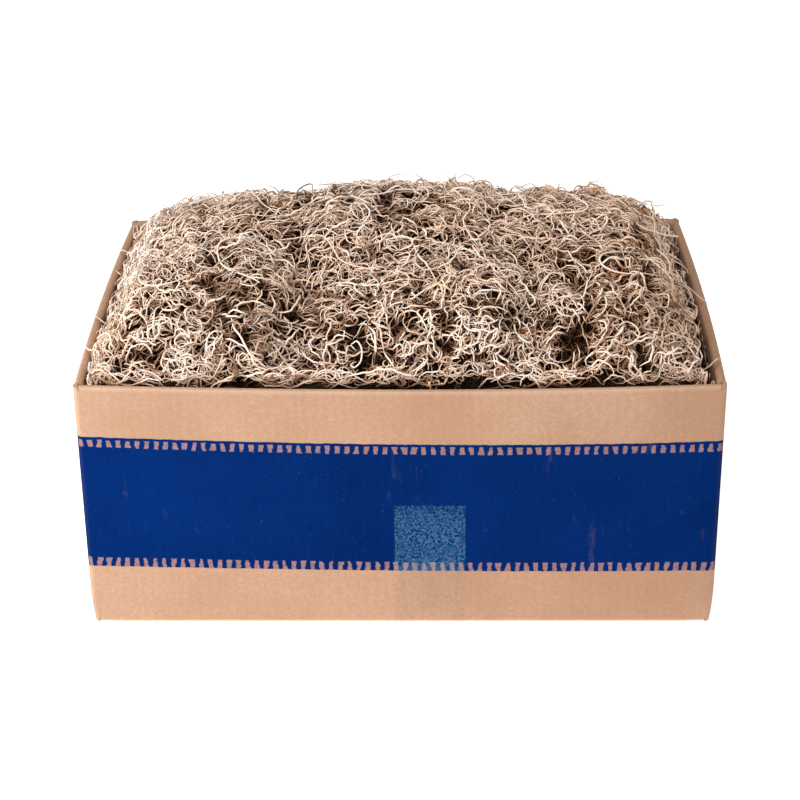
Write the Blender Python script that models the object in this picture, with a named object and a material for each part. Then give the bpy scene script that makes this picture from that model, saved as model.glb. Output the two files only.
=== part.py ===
"""Dried Spanish moss heaped in an open corrugated carton.

Metres, +Z up.  The origin is the middle of the carton's underside and the long front wall
faces -Y.  The carton is one folded blank: four walls with a glued corner tab, four flaps
closed below and four flaps tucked down inside.  The moss is a bed that fills the carton, a
crown of loose wads heaped on it, and single long strands lying over the wads.
"""

import math
import random

import bmesh
import bpy
from mathutils import Vector, noise
from mathutils.bvhtree import BVHTree

# Carton blank
CARTON_WIDTH = 0.430
CARTON_DEPTH = 0.305
CARTON_HEIGHT = 0.182
BOARD = 0.003
GAP = 0.0003
LAYER = BOARD + GAP
FOLD_OUTER = BOARD + GAP / 2
FOLD_INNER = GAP / 2
FLAP_LENGTH = 0.150
FLAP_SLOT = 0.004
GLUE_TAB_WIDTH = 0.0397
GLUE_TAB_SHORT = 0.004
FOLD_STEPS = 4

# The moss presses the long walls out by this much at mid width, full from this height up
FRONT_BULGE = 0.0085
SIDE_BULGE = 0.003
BULGE_FULL_HEIGHT = 0.160
BULGE_LEAN = 0.20
BULGE_COLUMNS = 10
BULGE_ROWS = 6

# Strip of packing tape that crosses the bottom and climbs the front and back walls
TAPE_WIDTH = 0.048
TAPE_CENTRE = 0.020
TAPE_THICK = 0.0003
TAPE_RISE = 0.095
TAPE_BED = TAPE_THICK + GAP

# Heap of moss: wads on a packed bed, steep at the front and sides and sloping off at the back
BED_TOP = 0.150
BED_CORNER = 0.008
DOME_FOOT = 0.178
DOME_RISE = 0.080
DOME_HALF_X = 0.222
DOME_HALF_Y = 0.166
DOME_CREST_Y = 0.008
DOME_FRONT_POWER = 3.0
DOME_BACK_POWER = 1.22
WAD_POWER = 2.8
WAD_POWER_UP = 3.6
WAD_SEGMENTS = 30
WAD_RINGS = 16
WAD_LUMP = 0.006
WAD_LUMP_SIZE = 0.036

# Wads of the crown: name, centre x and y, half widths along x and y, height against the dome
WADS = [
    ("moss_wad_front_left", -0.140, -0.092, 0.082, 0.066, 1.02),
    ("moss_wad_front_middle", 0.016, -0.100, 0.090, 0.060, 0.93),
    ("moss_wad_front_right", 0.146, -0.088, 0.072, 0.068, 0.95),
    ("moss_wad_left", -0.120, -0.004, 0.098, 0.072, 0.97),
    ("moss_wad_centre", -0.002, -0.018, 0.086, 0.076, 1.03),
    ("moss_wad_right", 0.122, 0.002, 0.098, 0.076, 0.98),
    ("moss_wad_back_left", -0.134, 0.084, 0.086, 0.070, 0.87),
    ("moss_wad_back_middle", 0.002, 0.082, 0.094, 0.072, 0.91),
    ("moss_wad_back_right", 0.134, 0.084, 0.086, 0.070, 0.90),
]

# Single strands that lie over the wads
STRAND_COUNT = 16
STRAND_RADIUS = 0.0008
STRAND_STEP = 0.0045
STRAND_POINTS = (17, 28)
STRAND_CLEAR = 0.0005
STRAND_TURN = 0.20
STRAND_SETTLES = 60
STRAND_SEED = 5

# Colours: red, green, blue, then roughness
KRAFT = (0.62, 0.42, 0.29, 0.85)
KRAFT_INSIDE = (0.45, 0.29, 0.18, 0.9)
TAPE_CLEAR = (0.55, 0.62, 0.66, 0.35)
MOSS_PALE = (0.47, 0.38, 0.31, 0.95)
MOSS_SHADE = (0.20, 0.15, 0.11, 0.95)
MOSS_STRAND = (0.66, 0.56, 0.48, 0.9)

HALF_W = CARTON_WIDTH / 2
HALF_D = CARTON_DEPTH / 2

# Room left for the moss between the tucked flaps
MOSS_SIDE = HALF_W - 2 * LAYER
MOSS_FRONT = -HALF_D + 2 * LAYER
MOSS_BACK = HALF_D - 3 * LAYER


def clear_scene():
    for obj in list(bpy.data.objects):
        bpy.data.objects.remove(obj, do_unlink=True)


def make_collection(name):
    collection = bpy.data.collections.new(name)
    bpy.context.scene.collection.children.link(collection)
    return collection


def make_material(name, look):
    material = bpy.data.materials.new(name)
    material.use_nodes = True
    shader = material.node_tree.nodes["Principled BSDF"]
    shader.inputs["Base Color"].default_value = (*look[:3], 1.0)
    shader.inputs["Roughness"].default_value = look[3]
    shader.inputs["Metallic"].default_value = 0.0
    material.diffuse_color = (*look[:3], 1.0)
    return material


def place(name, data, look):
    """Puts a mesh or curve in the part's collection under the carton's empty."""
    obj = bpy.data.objects.new(name, data)
    data.materials.append(make_material(name, look))
    PART.objects.link(obj)
    obj.parent = ROOT
    return obj


def finish_mesh(name, bm):
    bmesh.ops.recalc_face_normals(bm, faces=bm.faces)
    mesh = bpy.data.meshes.new(name)
    bm.to_mesh(mesh)
    bm.free()
    return mesh


def in_runs(curve, value, low, high, count):
    """Reads a curve as straight runs between the lines of the shared grid."""
    share = min(1.0, max(0.0, (value - low) / (high - low))) * count
    cell = min(count - 1, int(share))
    step = (high - low) / count
    start = curve(low + cell * step)
    return start + (curve(low + (cell + 1) * step) - start) * (share - cell)


def bulge_along_front(x):
    return (1 - (x / HALF_W) ** 2) * (1 + BULGE_LEAN * x / HALF_W)


def bulge_along_side(y):
    return 1 - (y / HALF_D) ** 2


def bulge_with_height(z):
    return math.sin(math.pi / 2 * min(1.0, z / BULGE_FULL_HEIGHT))


def bulged(point):
    """Where a point of the square carton lies once the moss presses the walls outward.

    Both directions only stretch, so layers that lie side by side keep their gaps.
    """
    x, y, z = point
    rise = in_runs(bulge_with_height, z, 0, CARTON_HEIGHT, BULGE_ROWS)
    front = in_runs(bulge_along_front, x, -HALF_W, HALF_W, BULGE_COLUMNS)
    side = in_runs(bulge_along_side, y, -HALF_D, HALF_D, BULGE_ROWS)
    new_x = x * (1 + SIDE_BULGE / HALF_W * side * rise)
    new_y = y * (1 + FRONT_BULGE / HALF_D * front * rise)
    return Vector((new_x, new_y, z))


def score(bm, axes):
    """Cuts the faces along one shared grid, so that neighbouring layers bend alike."""
    planes = []
    for i in range(1, BULGE_COLUMNS):
        planes.append(("x", Vector(((i / BULGE_COLUMNS - 0.5) * CARTON_WIDTH, 0, 0))))
    for i in range(1, BULGE_ROWS):
        planes.append(("y", Vector((0, (i / BULGE_ROWS - 0.5) * CARTON_DEPTH, 0))))
        planes.append(("z", Vector((0, 0, i / BULGE_ROWS * CARTON_HEIGHT))))
    normals = {"x": Vector((1, 0, 0)), "y": Vector((0, 1, 0)), "z": Vector((0, 0, 1))}
    for axis, point in planes:
        if axis in axes:
            everything = bm.verts[:] + bm.edges[:] + bm.faces[:]
            bmesh.ops.bisect_plane(
                bm, geom=everything, dist=1e-6, plane_co=point, plane_no=normals[axis]
            )


def bend(bm):
    for vert in bm.verts:
        vert.co = bulged(vert.co)


def box(low, high):
    """A closed box between two corners, in the square carton's space."""
    bm = bmesh.new()
    bmesh.ops.create_cube(bm, size=1.0)
    low = Vector(low)
    high = Vector(high)
    for vert in bm.verts:
        for axis in range(3):
            vert.co[axis] = low[axis] + (vert.co[axis] + 0.5) * (high[axis] - low[axis])
    return bm


def arc(centre, radius, start, stop, steps=FOLD_STEPS):
    """Points on a circle from one angle to another, in degrees."""
    points = []
    for i in range(steps + 1):
        angle = math.radians(start + (stop - start) * i / steps)
        points.append((centre[0] + radius * math.cos(angle), centre[1] + radius * math.sin(angle)))
    return points


def extruded(outline, low, high, to_space):
    """Extrudes a closed outline from low to high; to_space turns (u, v, w) into x, y, z."""
    bm = bmesh.new()
    face = bm.faces.new([bm.verts.new(to_space(u, v, low)) for u, v in outline])
    grown = bmesh.ops.extrude_face_region(bm, geom=[face])
    moved = [item for item in grown["geom"] if isinstance(item, bmesh.types.BMVert)]
    step = to_space(0, 0, high) - to_space(0, 0, low)
    bmesh.ops.translate(bm, verts=moved, vec=step)
    return bm


def board_object(name, bm, look, axes):
    """Finishes a piece that follows the walls: grid cuts across these axes, then the bulge."""
    score(bm, axes)
    bend(bm)
    bmesh.ops.triangulate(bm, faces=bm.faces[:], quad_method="SHORT_EDGE")
    return place(name, finish_mesh(name, bm), look)


# Each wall's own frame: u runs outward from the carton's middle, v up, w along the wall
def front_space(u, v, w):
    return Vector((w, -u, v))


def back_space(u, v, w):
    return Vector((w, u, v))


def left_space(u, v, w):
    return Vector((-u, w, v))


def right_space(u, v, w):
    return Vector((u, w, v))


def build_walls():
    low = FOLD_OUTER + GAP
    high = CARTON_HEIGHT - FOLD_OUTER - GAP
    inner = HALF_D - BOARD
    for name, side in (("front_wall", -1), ("back_wall", 1)):
        y_pair = sorted((side * HALF_D, side * inner))
        bm = box((-HALF_W, y_pair[0], low), (HALF_W, y_pair[1], high))
        board_object(name, bm, KRAFT, "xz")
    for name, side in (("left_wall", -1), ("right_wall", 1)):
        x_pair = sorted((side * HALF_W, side * (HALF_W - BOARD)))
        end = HALF_D - LAYER
        bm = box((x_pair[0], -end, low + LAYER), (x_pair[1], end, high))
        board_object(name, bm, KRAFT, "yz")


def build_glue_tab():
    """The tab that joins the blank into a ring, inside the back wall at its left end."""
    low = (-HALF_W + LAYER, HALF_D - BOARD - LAYER, FOLD_OUTER + LAYER + GAP + GLUE_TAB_SHORT)
    high = (
        -HALF_W + LAYER + GLUE_TAB_WIDTH,
        HALF_D - LAYER,
        CARTON_HEIGHT - FOLD_OUTER - GAP - GLUE_TAB_SHORT,
    )
    board_object("glue_tab", box(low, high), KRAFT, "xz")


def tucked_outline(wall, extra):
    """Section of a top flap: over the wall's edge, then down inside it.

    extra widens the fold where another layer lies between the wall and the flap.
    """
    top = CARTON_HEIGHT - FOLD_OUTER
    outer = wall - FOLD_OUTER
    inner = outer - extra
    end = CARTON_HEIGHT - FLAP_LENGTH
    points = arc((outer, top), FOLD_OUTER, 0, 90)
    points += arc((inner, top), FOLD_OUTER, 90, 180)
    points += [(inner - FOLD_OUTER, end), (inner - FOLD_INNER, end)]
    points += arc((inner, top), FOLD_INNER, 180, 90, 2)
    points += arc((outer, top), FOLD_INNER, 90, 0, 2)
    return without_repeats(points)


def closing_outline(wall, floor, reach):
    """Section of a bottom flap: down from the wall's foot, then inward to reach."""
    centre = (wall - FOLD_OUTER, floor + FOLD_OUTER)
    points = arc(centre, FOLD_OUTER, 0, -90)
    points += [(reach, floor), (reach, floor + BOARD)]
    points += arc(centre, FOLD_INNER, -90, 0, 2)
    return without_repeats(points)


def without_repeats(points):
    kept = []
    for point in points:
        if not kept or math.dist(point, kept[-1]) > 1e-7:
            kept.append(point)
    return kept


def build_top_flaps():
    span = HALF_W - FLAP_SLOT
    front = extruded(tucked_outline(HALF_D, 0.0), -span, span, front_space)
    board_object("front_top_flap", front, KRAFT_INSIDE, "xz")
    back = extruded(tucked_outline(HALF_D, LAYER), -span, span, back_space)
    board_object("back_top_flap", back, KRAFT_INSIDE, "xz")
    low = MOSS_FRONT
    high = MOSS_BACK
    left = extruded(tucked_outline(HALF_W, 0.0), low, high, left_space)
    board_object("left_top_flap", left, KRAFT_INSIDE, "yz")
    right = extruded(tucked_outline(HALF_W, 0.0), low, high, right_space)
    board_object("right_top_flap", right, KRAFT_INSIDE, "yz")


def tape_recess():
    """Cutter for the shallow bed that the tape is pressed into, under the outer flaps."""
    half = TAPE_WIDTH / 2 + GAP
    low = (TAPE_CENTRE - half, -CARTON_DEPTH, -CARTON_HEIGHT)
    high = (TAPE_CENTRE + half, CARTON_DEPTH, TAPE_BED)
    cutter = bpy.data.objects.new("tape_recess", finish_mesh("tape_recess", box(low, high)))
    CUTTERS.objects.link(cutter)
    cutter.hide_render = True
    cutter.display_type = "WIRE"
    return cutter


def build_bottom_flaps():
    span = HALF_W - FLAP_SLOT
    cutter = tape_recess()
    for name, to_space in (("front_bottom_flap", front_space), ("back_bottom_flap", back_space)):
        bm = extruded(closing_outline(HALF_D, 0.0, GAP / 2), -span, span, to_space)
        flap = board_object(name, bm, KRAFT, "x")
        cut = flap.modifiers.new("tape_recess", "BOOLEAN")
        cut.operation = "DIFFERENCE"
        cut.solver = "EXACT"
        cut.object = cutter
    end = HALF_D - LAYER - GAP
    reach = HALF_W - FLAP_LENGTH
    for name, to_space in (("left_bottom_flap", left_space), ("right_bottom_flap", right_space)):
        bm = extruded(closing_outline(HALF_W, LAYER, reach), -end, end, to_space)
        board_object(name, bm, KRAFT_INSIDE, "y")


def build_tape():
    """One strip: down the front wall, round the fold, across the bottom and up the back."""
    centre = (HALF_D - FOLD_OUTER, FOLD_OUTER)
    inside = FOLD_OUTER + GAP
    outside = inside + TAPE_THICK
    turn_out = -math.degrees(math.asin(FOLD_OUTER / outside))
    turn_in = -math.degrees(math.asin((FOLD_OUTER - TAPE_THICK) / inside))
    half_out = [(centre[0] + outside, TAPE_RISE)] + arc(centre, outside, 0, turn_out)
    half_in = [(centre[0] + inside, TAPE_RISE)] + arc(centre, inside, 0, turn_in)
    under = half_out + [(-u, v) for u, v in reversed(half_out)]
    over = half_in + [(-u, v) for u, v in reversed(half_in)]
    outline = under + list(reversed(over))
    half = TAPE_WIDTH / 2
    bm = extruded(outline, TAPE_CENTRE - half, TAPE_CENTRE + half, front_space)
    board_object("packing_tape", bm, TAPE_CLEAR, "xz")


def build_moss_bed():
    """The packed moss that fills the carton up to the crown."""
    low = (-MOSS_SIDE, MOSS_FRONT, 2 * LAYER)
    bm = box(low, (MOSS_SIDE, MOSS_BACK, BED_TOP - GAP))
    uprights = [edge for edge in bm.edges if is_upright(edge)]
    bmesh.ops.bevel(
        bm, geom=uprights, offset=BED_CORNER, segments=3, profile=0.5, affect="EDGES"
    )
    board_object("moss_bed", bm, MOSS_SHADE, "xyz")


def is_upright(edge):
    along = edge.verts[0].co - edge.verts[1].co
    return abs(along.z) > 0.9 * along.length


def signed_power(value, power):
    return math.copysign(abs(value) ** power, value)


def dome_height(x, y):
    """Height of the heap as a whole, steep at the front rim and falling slowly behind its crest."""
    across = max(0.0, 1 - abs(x / DOME_HALF_X) ** 4)
    power = DOME_FRONT_POWER if y < DOME_CREST_Y else DOME_BACK_POWER
    along = max(0.0, 1 - abs((y - DOME_CREST_Y) / DOME_HALF_Y) ** power)
    return DOME_FOOT + DOME_RISE * (across * along) ** 0.6


def wad_surface(direction, wad, seed):
    """A point of a wad's lumpy rounded form in this direction from its middle."""
    name, x, y, half_x, half_y, height = wad
    flat = (abs(direction.x) ** WAD_POWER + abs(direction.y) ** WAD_POWER) ** (1 / WAD_POWER)
    size = (flat**WAD_POWER_UP + abs(direction.z) ** WAD_POWER_UP) ** (1 / WAD_POWER_UP)
    unit = direction / size
    x += unit.x * half_x
    y += unit.y * half_y
    tall = (dome_height(x, y) - BED_TOP) * height
    point = Vector((x, y, BED_TOP + unit.z * tall))
    lump = noise.noise(point / WAD_LUMP_SIZE + Vector((seed * 3.7, 0, 0)))
    return point + direction * lump * WAD_LUMP


def keep_below(bm, point, normal):
    """Keeps the side of a closed mesh that the normal points away from, and caps the cut."""
    everything = bm.verts[:] + bm.edges[:] + bm.faces[:]
    cut = bmesh.ops.bisect_plane(
        bm, geom=everything, dist=1e-6, plane_co=point, plane_no=normal, clear_outer=True
    )
    rim = [item for item in cut["geom_cut"] if isinstance(item, bmesh.types.BMEdge)]
    if rim:
        bmesh.ops.contextual_create(bm, geom=rim)


def build_wads():
    """Each wad is a lumpy form cut flat where it meets the bed, the carton and its neighbours."""
    trees = []
    for index, wad in enumerate(WADS):
        bm = bmesh.new()
        bmesh.ops.create_uvsphere(bm, u_segments=WAD_SEGMENTS, v_segments=WAD_RINGS, radius=1.0)
        for vert in bm.verts:
            vert.co = wad_surface(vert.co.normalized(), wad, index)
        keep_below(bm, Vector((0, 0, BED_TOP)), Vector((0, 0, -1)))
        keep_below(bm, Vector((-MOSS_SIDE, 0, 0)), Vector((-1, 0, 0)))
        keep_below(bm, Vector((MOSS_SIDE, 0, 0)), Vector((1, 0, 0)))
        keep_below(bm, Vector((0, MOSS_FRONT, 0)), Vector((0, -1, 0)))
        keep_below(bm, Vector((0, MOSS_BACK, 0)), Vector((0, 1, 0)))
        for other in WADS:
            if other is not wad:
                keep_below(bm, *border(wad, other))
        bend(bm)
        obj = place(wad[0], finish_mesh(wad[0], bm), MOSS_PALE)
        trees.append(surface_tree(obj.data))
    return trees


def border(wad, other):
    """The upright plane between two wads, nearer the smaller one, with half the gap."""
    here = Vector((wad[1], wad[2], 0))
    there = Vector((other[1], other[2], 0))
    along = there - here
    share = size_along(wad, along) / (size_along(wad, along) + size_along(other, along))
    normal = along.normalized()
    return here + along * share - normal * GAP / 2, normal


def size_along(wad, along):
    unit = along.normalized()
    return 1 / math.hypot(unit.x / wad[3], unit.y / wad[4])


def surface_tree(mesh):
    mesh.calc_loop_triangles()
    corners = [vert.co.copy() for vert in mesh.vertices]
    return BVHTree.FromPolygons(corners, [tuple(tri.vertices) for tri in mesh.loop_triangles])


def moss_height(trees, x, y):
    """Height of the heap under a point, or None off its edge."""
    above = Vector((x, y, 2 * CARTON_HEIGHT))
    found = [tree.ray_cast(above, Vector((0, 0, -1)))[0] for tree in trees]
    heights = [hit.z for hit in found if hit is not None]
    return max(heights) if heights else None


def strand_height(trees, x, y):
    """Highest moss within a strand's width and a little more, so that it lies clear."""
    reach = STRAND_RADIUS + STRAND_CLEAR
    highest = None
    for dx, dy in ((0, 0), (reach, 0), (-reach, 0), (0, reach), (0, -reach)):
        found = moss_height(trees, x + dx, y + dy)
        if found is None:
            return None
        highest = found if highest is None else max(highest, found)
    return highest + STRAND_RADIUS + STRAND_CLEAR


def strand_route(trees, dice):
    """A wandering route over the heap, or None where it would leave the heap."""
    x = dice.uniform(-0.85, 0.85) * MOSS_SIDE
    y = dice.uniform(-0.80, 0.6) * HALF_D
    heading = dice.uniform(0, 2 * math.pi)
    turn = 0.0
    points = []
    for _ in range(dice.randint(*STRAND_POINTS)):
        height = strand_height(trees, x, y)
        if height is None:
            return None
        points.append(Vector((x, y, height)))
        turn = 0.7 * turn + dice.uniform(-STRAND_TURN, STRAND_TURN)
        heading += turn
        x += STRAND_STEP * math.cos(heading)
        y += STRAND_STEP * math.sin(heading)
    bridge_hollows(points)
    return points if lifted_over_ridges(trees, points) else None


def bridge_hollows(points):
    """Draws a strand taut, so that it spans the clefts between wads and doesn't follow them."""
    resting = [point.z for point in points]
    for _ in range(STRAND_SETTLES):
        for i in range(1, len(points) - 1):
            level = (points[i - 1].z + points[i + 1].z) / 2
            points[i].z = max(resting[i], level)


def lifted_over_ridges(trees, points):
    """Raises both ends of any stretch that would cut through the moss between them.

    False where a stretch has no moss under it.
    """
    for a, b in zip(points, points[1:]):
        for share in (0.25, 0.5, 0.75):
            between = a.lerp(b, share)
            height = strand_height(trees, between.x, between.y)
            if height is None:
                return False
            short = max(0.0, height - between.z)
            a.z += short
            b.z += short
    return True


def crosses(route, others):
    """Whether a route passes close to one that is already laid."""
    near = 4 * STRAND_RADIUS
    for other in others:
        for a in route:
            for b in other:
                if abs(a.x - b.x) < near and abs(a.y - b.y) < near:
                    return True
    return False


def build_strands(trees):
    dice = random.Random(STRAND_SEED)
    laid = []
    while len(laid) < STRAND_COUNT:
        route = strand_route(trees, dice)
        if route is None or crosses(route, laid):
            continue
        laid.append(route)
        name = f"moss_strand_{len(laid):02d}"
        curve = bpy.data.curves.new(name, "CURVE")
        curve.dimensions = "3D"
        curve.bevel_depth = STRAND_RADIUS
        curve.bevel_resolution = 1
        curve.use_fill_caps = True
        spline = curve.splines.new("POLY")
        spline.points.add(len(route) - 1)
        for point, place_at in zip(spline.points, route):
            point.co = (*place_at, 1.0)
        place(name, curve, MOSS_STRAND)


clear_scene()
PART = make_collection("boxed_spanish_moss")
CUTTERS = make_collection("cutters")
CUTTERS.hide_render = True
ROOT = bpy.data.objects.new("boxed_spanish_moss", None)
PART.objects.link(ROOT)

build_walls()
build_glue_tab()
build_top_flaps()
build_bottom_flaps()
build_tape()
build_moss_bed()
build_strands(build_wads())
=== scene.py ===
"""A corrugated carton, open at the top and heaped with dried spanish moss."""
import math

import bmesh
import bpy
import numpy as np
from mathutils import Matrix, Vector
from mathutils.bvhtree import BVHTree


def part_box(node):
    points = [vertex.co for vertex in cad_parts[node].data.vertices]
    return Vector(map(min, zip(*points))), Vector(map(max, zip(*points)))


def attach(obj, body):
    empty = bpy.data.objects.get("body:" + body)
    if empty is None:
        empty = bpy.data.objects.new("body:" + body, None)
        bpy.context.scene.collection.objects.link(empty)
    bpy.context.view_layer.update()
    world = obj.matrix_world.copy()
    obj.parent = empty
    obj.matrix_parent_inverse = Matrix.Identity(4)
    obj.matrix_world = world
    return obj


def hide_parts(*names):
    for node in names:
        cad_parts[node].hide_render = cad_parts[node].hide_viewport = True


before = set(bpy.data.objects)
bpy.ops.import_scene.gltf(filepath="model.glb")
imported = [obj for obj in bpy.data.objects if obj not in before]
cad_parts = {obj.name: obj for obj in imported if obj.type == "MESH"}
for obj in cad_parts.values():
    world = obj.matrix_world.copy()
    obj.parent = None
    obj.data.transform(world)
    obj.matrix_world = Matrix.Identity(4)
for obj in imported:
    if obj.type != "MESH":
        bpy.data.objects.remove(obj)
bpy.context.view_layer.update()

bl_info = {
    "name": "Boxed Spanish Moss",
    "version": (1, 0, 0),
    "blender": (4, 5, 0),
    "location": "View3D > Sidebar > Moss Box",
    "description": "Builds an open carton heaped with dried spanish moss",
    "category": "Add Mesh",
}

MM = 0.001
BODY = "root"

# The carton before the moss presses its walls outward, in metres
HALF_W = 0.215
HALF_D = 0.1525
HEIGHT = 0.182
BOARD = 0.003
LAYER = 0.0033
FOLD_OUTER = 0.00315
FOLD_INNER = 0.00015
FLAP_END = 0.032
FLAP_SLOT = 0.004
BULGE_FULL_HEIGHT = 0.160
BULGE_LEAN = 0.20
CORNER_ROUND = 0.0042
FOOT_CLEAR = 0.0003
WALL_TOP = HEIGHT - FOLD_OUTER
CORNER_TOP = HEIGHT - 0.0004
CORNER_FOOT = 0.0005
FOOT_REACH = 0.030
FOOT_TUCK = (0.0021, 0.0012)
FLUTE_PITCH = 0.0064
PLAIN_SHINE = 0.5
TAPE_LIFT = 0.00008
TAPE_THICK = 0.00014
TAPE_TOOTH = 0.0007

WADS = sorted(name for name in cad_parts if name.startswith("moss_wad_"))
SINGLE_STRANDS = sorted(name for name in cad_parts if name.startswith("moss_strand_"))


# Settings


def colour_setting(name, description, default):
    return bpy.props.FloatVectorProperty(
        name=name, description=description, default=default,
        subtype="COLOR", size=3, min=0, max=1
    )


def length_setting(name, description, default):
    return bpy.props.FloatProperty(
        name=name, description=description, default=default,
        min=0, unit="LENGTH", precision=4
    )


def count_setting(name, description, default):
    return bpy.props.IntProperty(
        name=name, description=description, default=default, min=1
    )


def power_setting(name, description, default):
    return bpy.props.FloatProperty(name=name, description=description, default=default)


class CartonSettings(bpy.types.PropertyGroup):
    front_bulge: length_setting("Front bulge", "How far the long walls are pressed out", 0.0085)
    side_bulge: length_setting("Side bulge", "How far the short walls are pressed out", 0.003)
    kraft: colour_setting("Kraft", "Colour of the outer liner", (0.515, 0.312, 0.205))
    kraft_dark: colour_setting("Kraft shade", "Darker patches of the liner", (0.440, 0.253, 0.156))
    kraft_inside: colour_setting("Inside", "Colour of the inner liner", (0.33, 0.190, 0.105))
    # Lighter colour of the creases: partly rubbed wear, partly a painted highlight on the folds.
    crease_wear_and_highlight: colour_setting("Worn crease", "Colour where a crease is rubbed", (0.80, 0.62, 0.47))


class PrintSettings(bpy.types.PropertyGroup):
    ink: colour_setting("Ink", "Colour of the printed band", (0.0010, 0.0135, 0.083))
    bare: colour_setting("Bare stitches", "Colour of the border's stitches", (0.315, 0.178, 0.180))
    band_low: length_setting("Band foot", "Height of the band's lower edge", 0.0441)
    band_high: length_setting("Band top", "Height of the band's upper edge", 0.1436)
    stitch_pitch: length_setting("Stitch pitch", "Distance between stitches", 0.00635)
    stitch_width: length_setting("Stitch width", "Width of a stitch", 0.0032)


class TapeSettings(bpy.types.PropertyGroup):
    width: length_setting("Width", "Width of the clear tape", 0.048)
    centre: length_setting("Centre", "Distance of the tape from the middle", 0.020)
    rise: length_setting("Rise", "How high the tape reaches up the walls", 0.0970)
    haze: colour_setting("Haze", "Colour of the frosted film", (0.19, 0.52, 0.72))


class MossSettings(bpy.types.PropertyGroup):
    seed: bpy.props.IntProperty(name="Seed", description="Seed of the tangle", default=11)
    under: count_setting("Under layer", "Thick stems below", 900)
    stems: count_setting("Stems", "Long wavy stems", 1700)
    bright: count_setting("Bright stems", "Pale stems on top", 480)
    curls: count_setting("Curls", "Tight curls", 2150)
    leaves: count_setting("Leaves", "Short leaves", 5200)
    wisps: count_setting("Wisps", "Ends that stand up", 260)
    pale: colour_setting("Pale", "Bleached strands", (0.95, 0.80, 0.695))
    grey: colour_setting("Grey", "Grey strands", (0.56, 0.405, 0.320))
    brown: colour_setting("Brown", "Brown strands", (0.27, 0.152, 0.088))
    dark: colour_setting("Shade", "What deep shade leaves of a colour", (0.085, 0.042, 0.022))


class StageSettings(bpy.types.PropertyGroup):
    key: power_setting("Key", "Power of the key light", 7.9)
    top: power_setting("Top", "Power of the light overhead", 11.8)
    side: power_setting("Side", "Power of the light at the left", 0.95)
    glow: power_setting("Glow", "Light of the floor itself", 0.9)
    air: power_setting("Air", "Strength of the white room", 0.28)


# Material graphs


class Value:
    """What a node gives, with ordinary arithmetic."""

    def __init__(self, graph, socket):
        self.graph = graph
        self.socket = socket

    def __add__(self, other):
        return self.graph.math("ADD", self, other)

    def __sub__(self, other):
        return self.graph.math("SUBTRACT", self, other)

    def __rsub__(self, other):
        return self.graph.math("SUBTRACT", other, self)

    def __mul__(self, other):
        return self.graph.math("MULTIPLY", self, other)

    def __truediv__(self, other):
        return self.graph.math("DIVIDE", self, other)


class Graph:
    """A material's nodes, joined as they are made."""

    def __init__(self, name):
        self.material = bpy.data.materials.new(name)
        self.material.use_nodes = True
        self.tree = self.material.node_tree
        self.tree.nodes.clear()
        self.shader = self.node("ShaderNodeBsdfPrincipled")
        output = self.node("ShaderNodeOutputMaterial")
        self.tree.links.new(self.shader.outputs[0], output.inputs["Surface"])

    def node(self, kind, **settings):
        node = self.tree.nodes.new(kind)
        row, column = divmod(len(self.tree.nodes), 12)
        node.location = (-220 * column, -260 * row)
        for name, value in settings.items():
            setattr(node, name, value)
        return node

    def put(self, socket, value):
        if isinstance(value, Value):
            self.tree.links.new(value.socket, socket)
        else:
            socket.default_value = value

    def made(self, kind, given=(), output=0, **settings):
        """What a node gives once its inputs are filled in."""
        node = self.node(kind, **settings)
        for socket, value in dict(given).items():
            self.put(node.inputs[socket], value)
        return Value(self, node.outputs[output])

    def math(self, kind, *values, clamp=False):
        return self.made("ShaderNodeMath", enumerate(values), operation=kind, use_clamp=clamp)

    def step(self, value, low, high, start=0.0, end=1.0):
        given = {"Value": value, "From Min": low, "From Max": high, "To Min": start, "To Max": end}
        return self.made("ShaderNodeMapRange", given, interpolation_type="SMOOTHSTEP")

    def mix(self, share, first, second, blend="MIX"):
        given = {0: share}
        for socket, colour in ((6, first), (7, second)):
            given[socket] = colour if isinstance(colour, Value) else (*colour, 1)
        return self.made("ShaderNodeMix", given, 2, data_type="RGBA", blend_type=blend)

    def layered(self, colour, *layers):
        """Lays colours over a colour. A layer is a value, its low and high, a share, a colour."""
        for value, low, high, share, over in layers:
            colour = self.mix(self.step(value, low, high, 0.0, share), colour, over)
        return colour

    def noise(self, vector, scale, detail=2.0, rough=0.5):
        given = {"Vector": vector, "Scale": scale, "Detail": detail, "Roughness": rough}
        return self.made("ShaderNodeTexNoise", given)

    def mapped(self, vector, scale, turn=(0.0, 0.0, 0.0)):
        return self.made("ShaderNodeMapping", {"Vector": vector, "Rotation": turn, "Scale": scale})

    def object_place(self):
        return self.made("ShaderNodeTexCoord", output="Object")

    def attribute(self, name, output):
        return self.made("ShaderNodeAttribute", output=output, attribute_name=name)

    def parts(self, value, kind="ShaderNodeSeparateXYZ"):
        node = self.node(kind)
        self.put(node.inputs[0], value)
        return [Value(self, socket) for socket in node.outputs]

    def board_map(self):
        return self.parts(self.made("ShaderNodeUVMap", uv_map="Board"))

    def finish(self, colour, rough, shine, height=None, strength=0.0, distance=0.0):
        """Gives the shader its colour, roughness, shine and relief."""
        inputs = self.shader.inputs
        self.put(inputs["Base Color"], colour)
        self.put(inputs["Roughness"], rough)
        inputs["Specular IOR Level"].default_value = shine
        if height is not None:
            given = {"Height": height, "Strength": strength, "Distance": distance}
            self.put(inputs["Normal"], self.made("ShaderNodeBump", given))
        return self.material


def scaled(colour, times):
    return tuple(part * times for part in colour)


def flutes(graph, along):
    """Wave of the board's flutes, from -1 to 1."""
    return graph.math("SINE", along * (2 * math.pi / FLUTE_PITCH))


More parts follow.
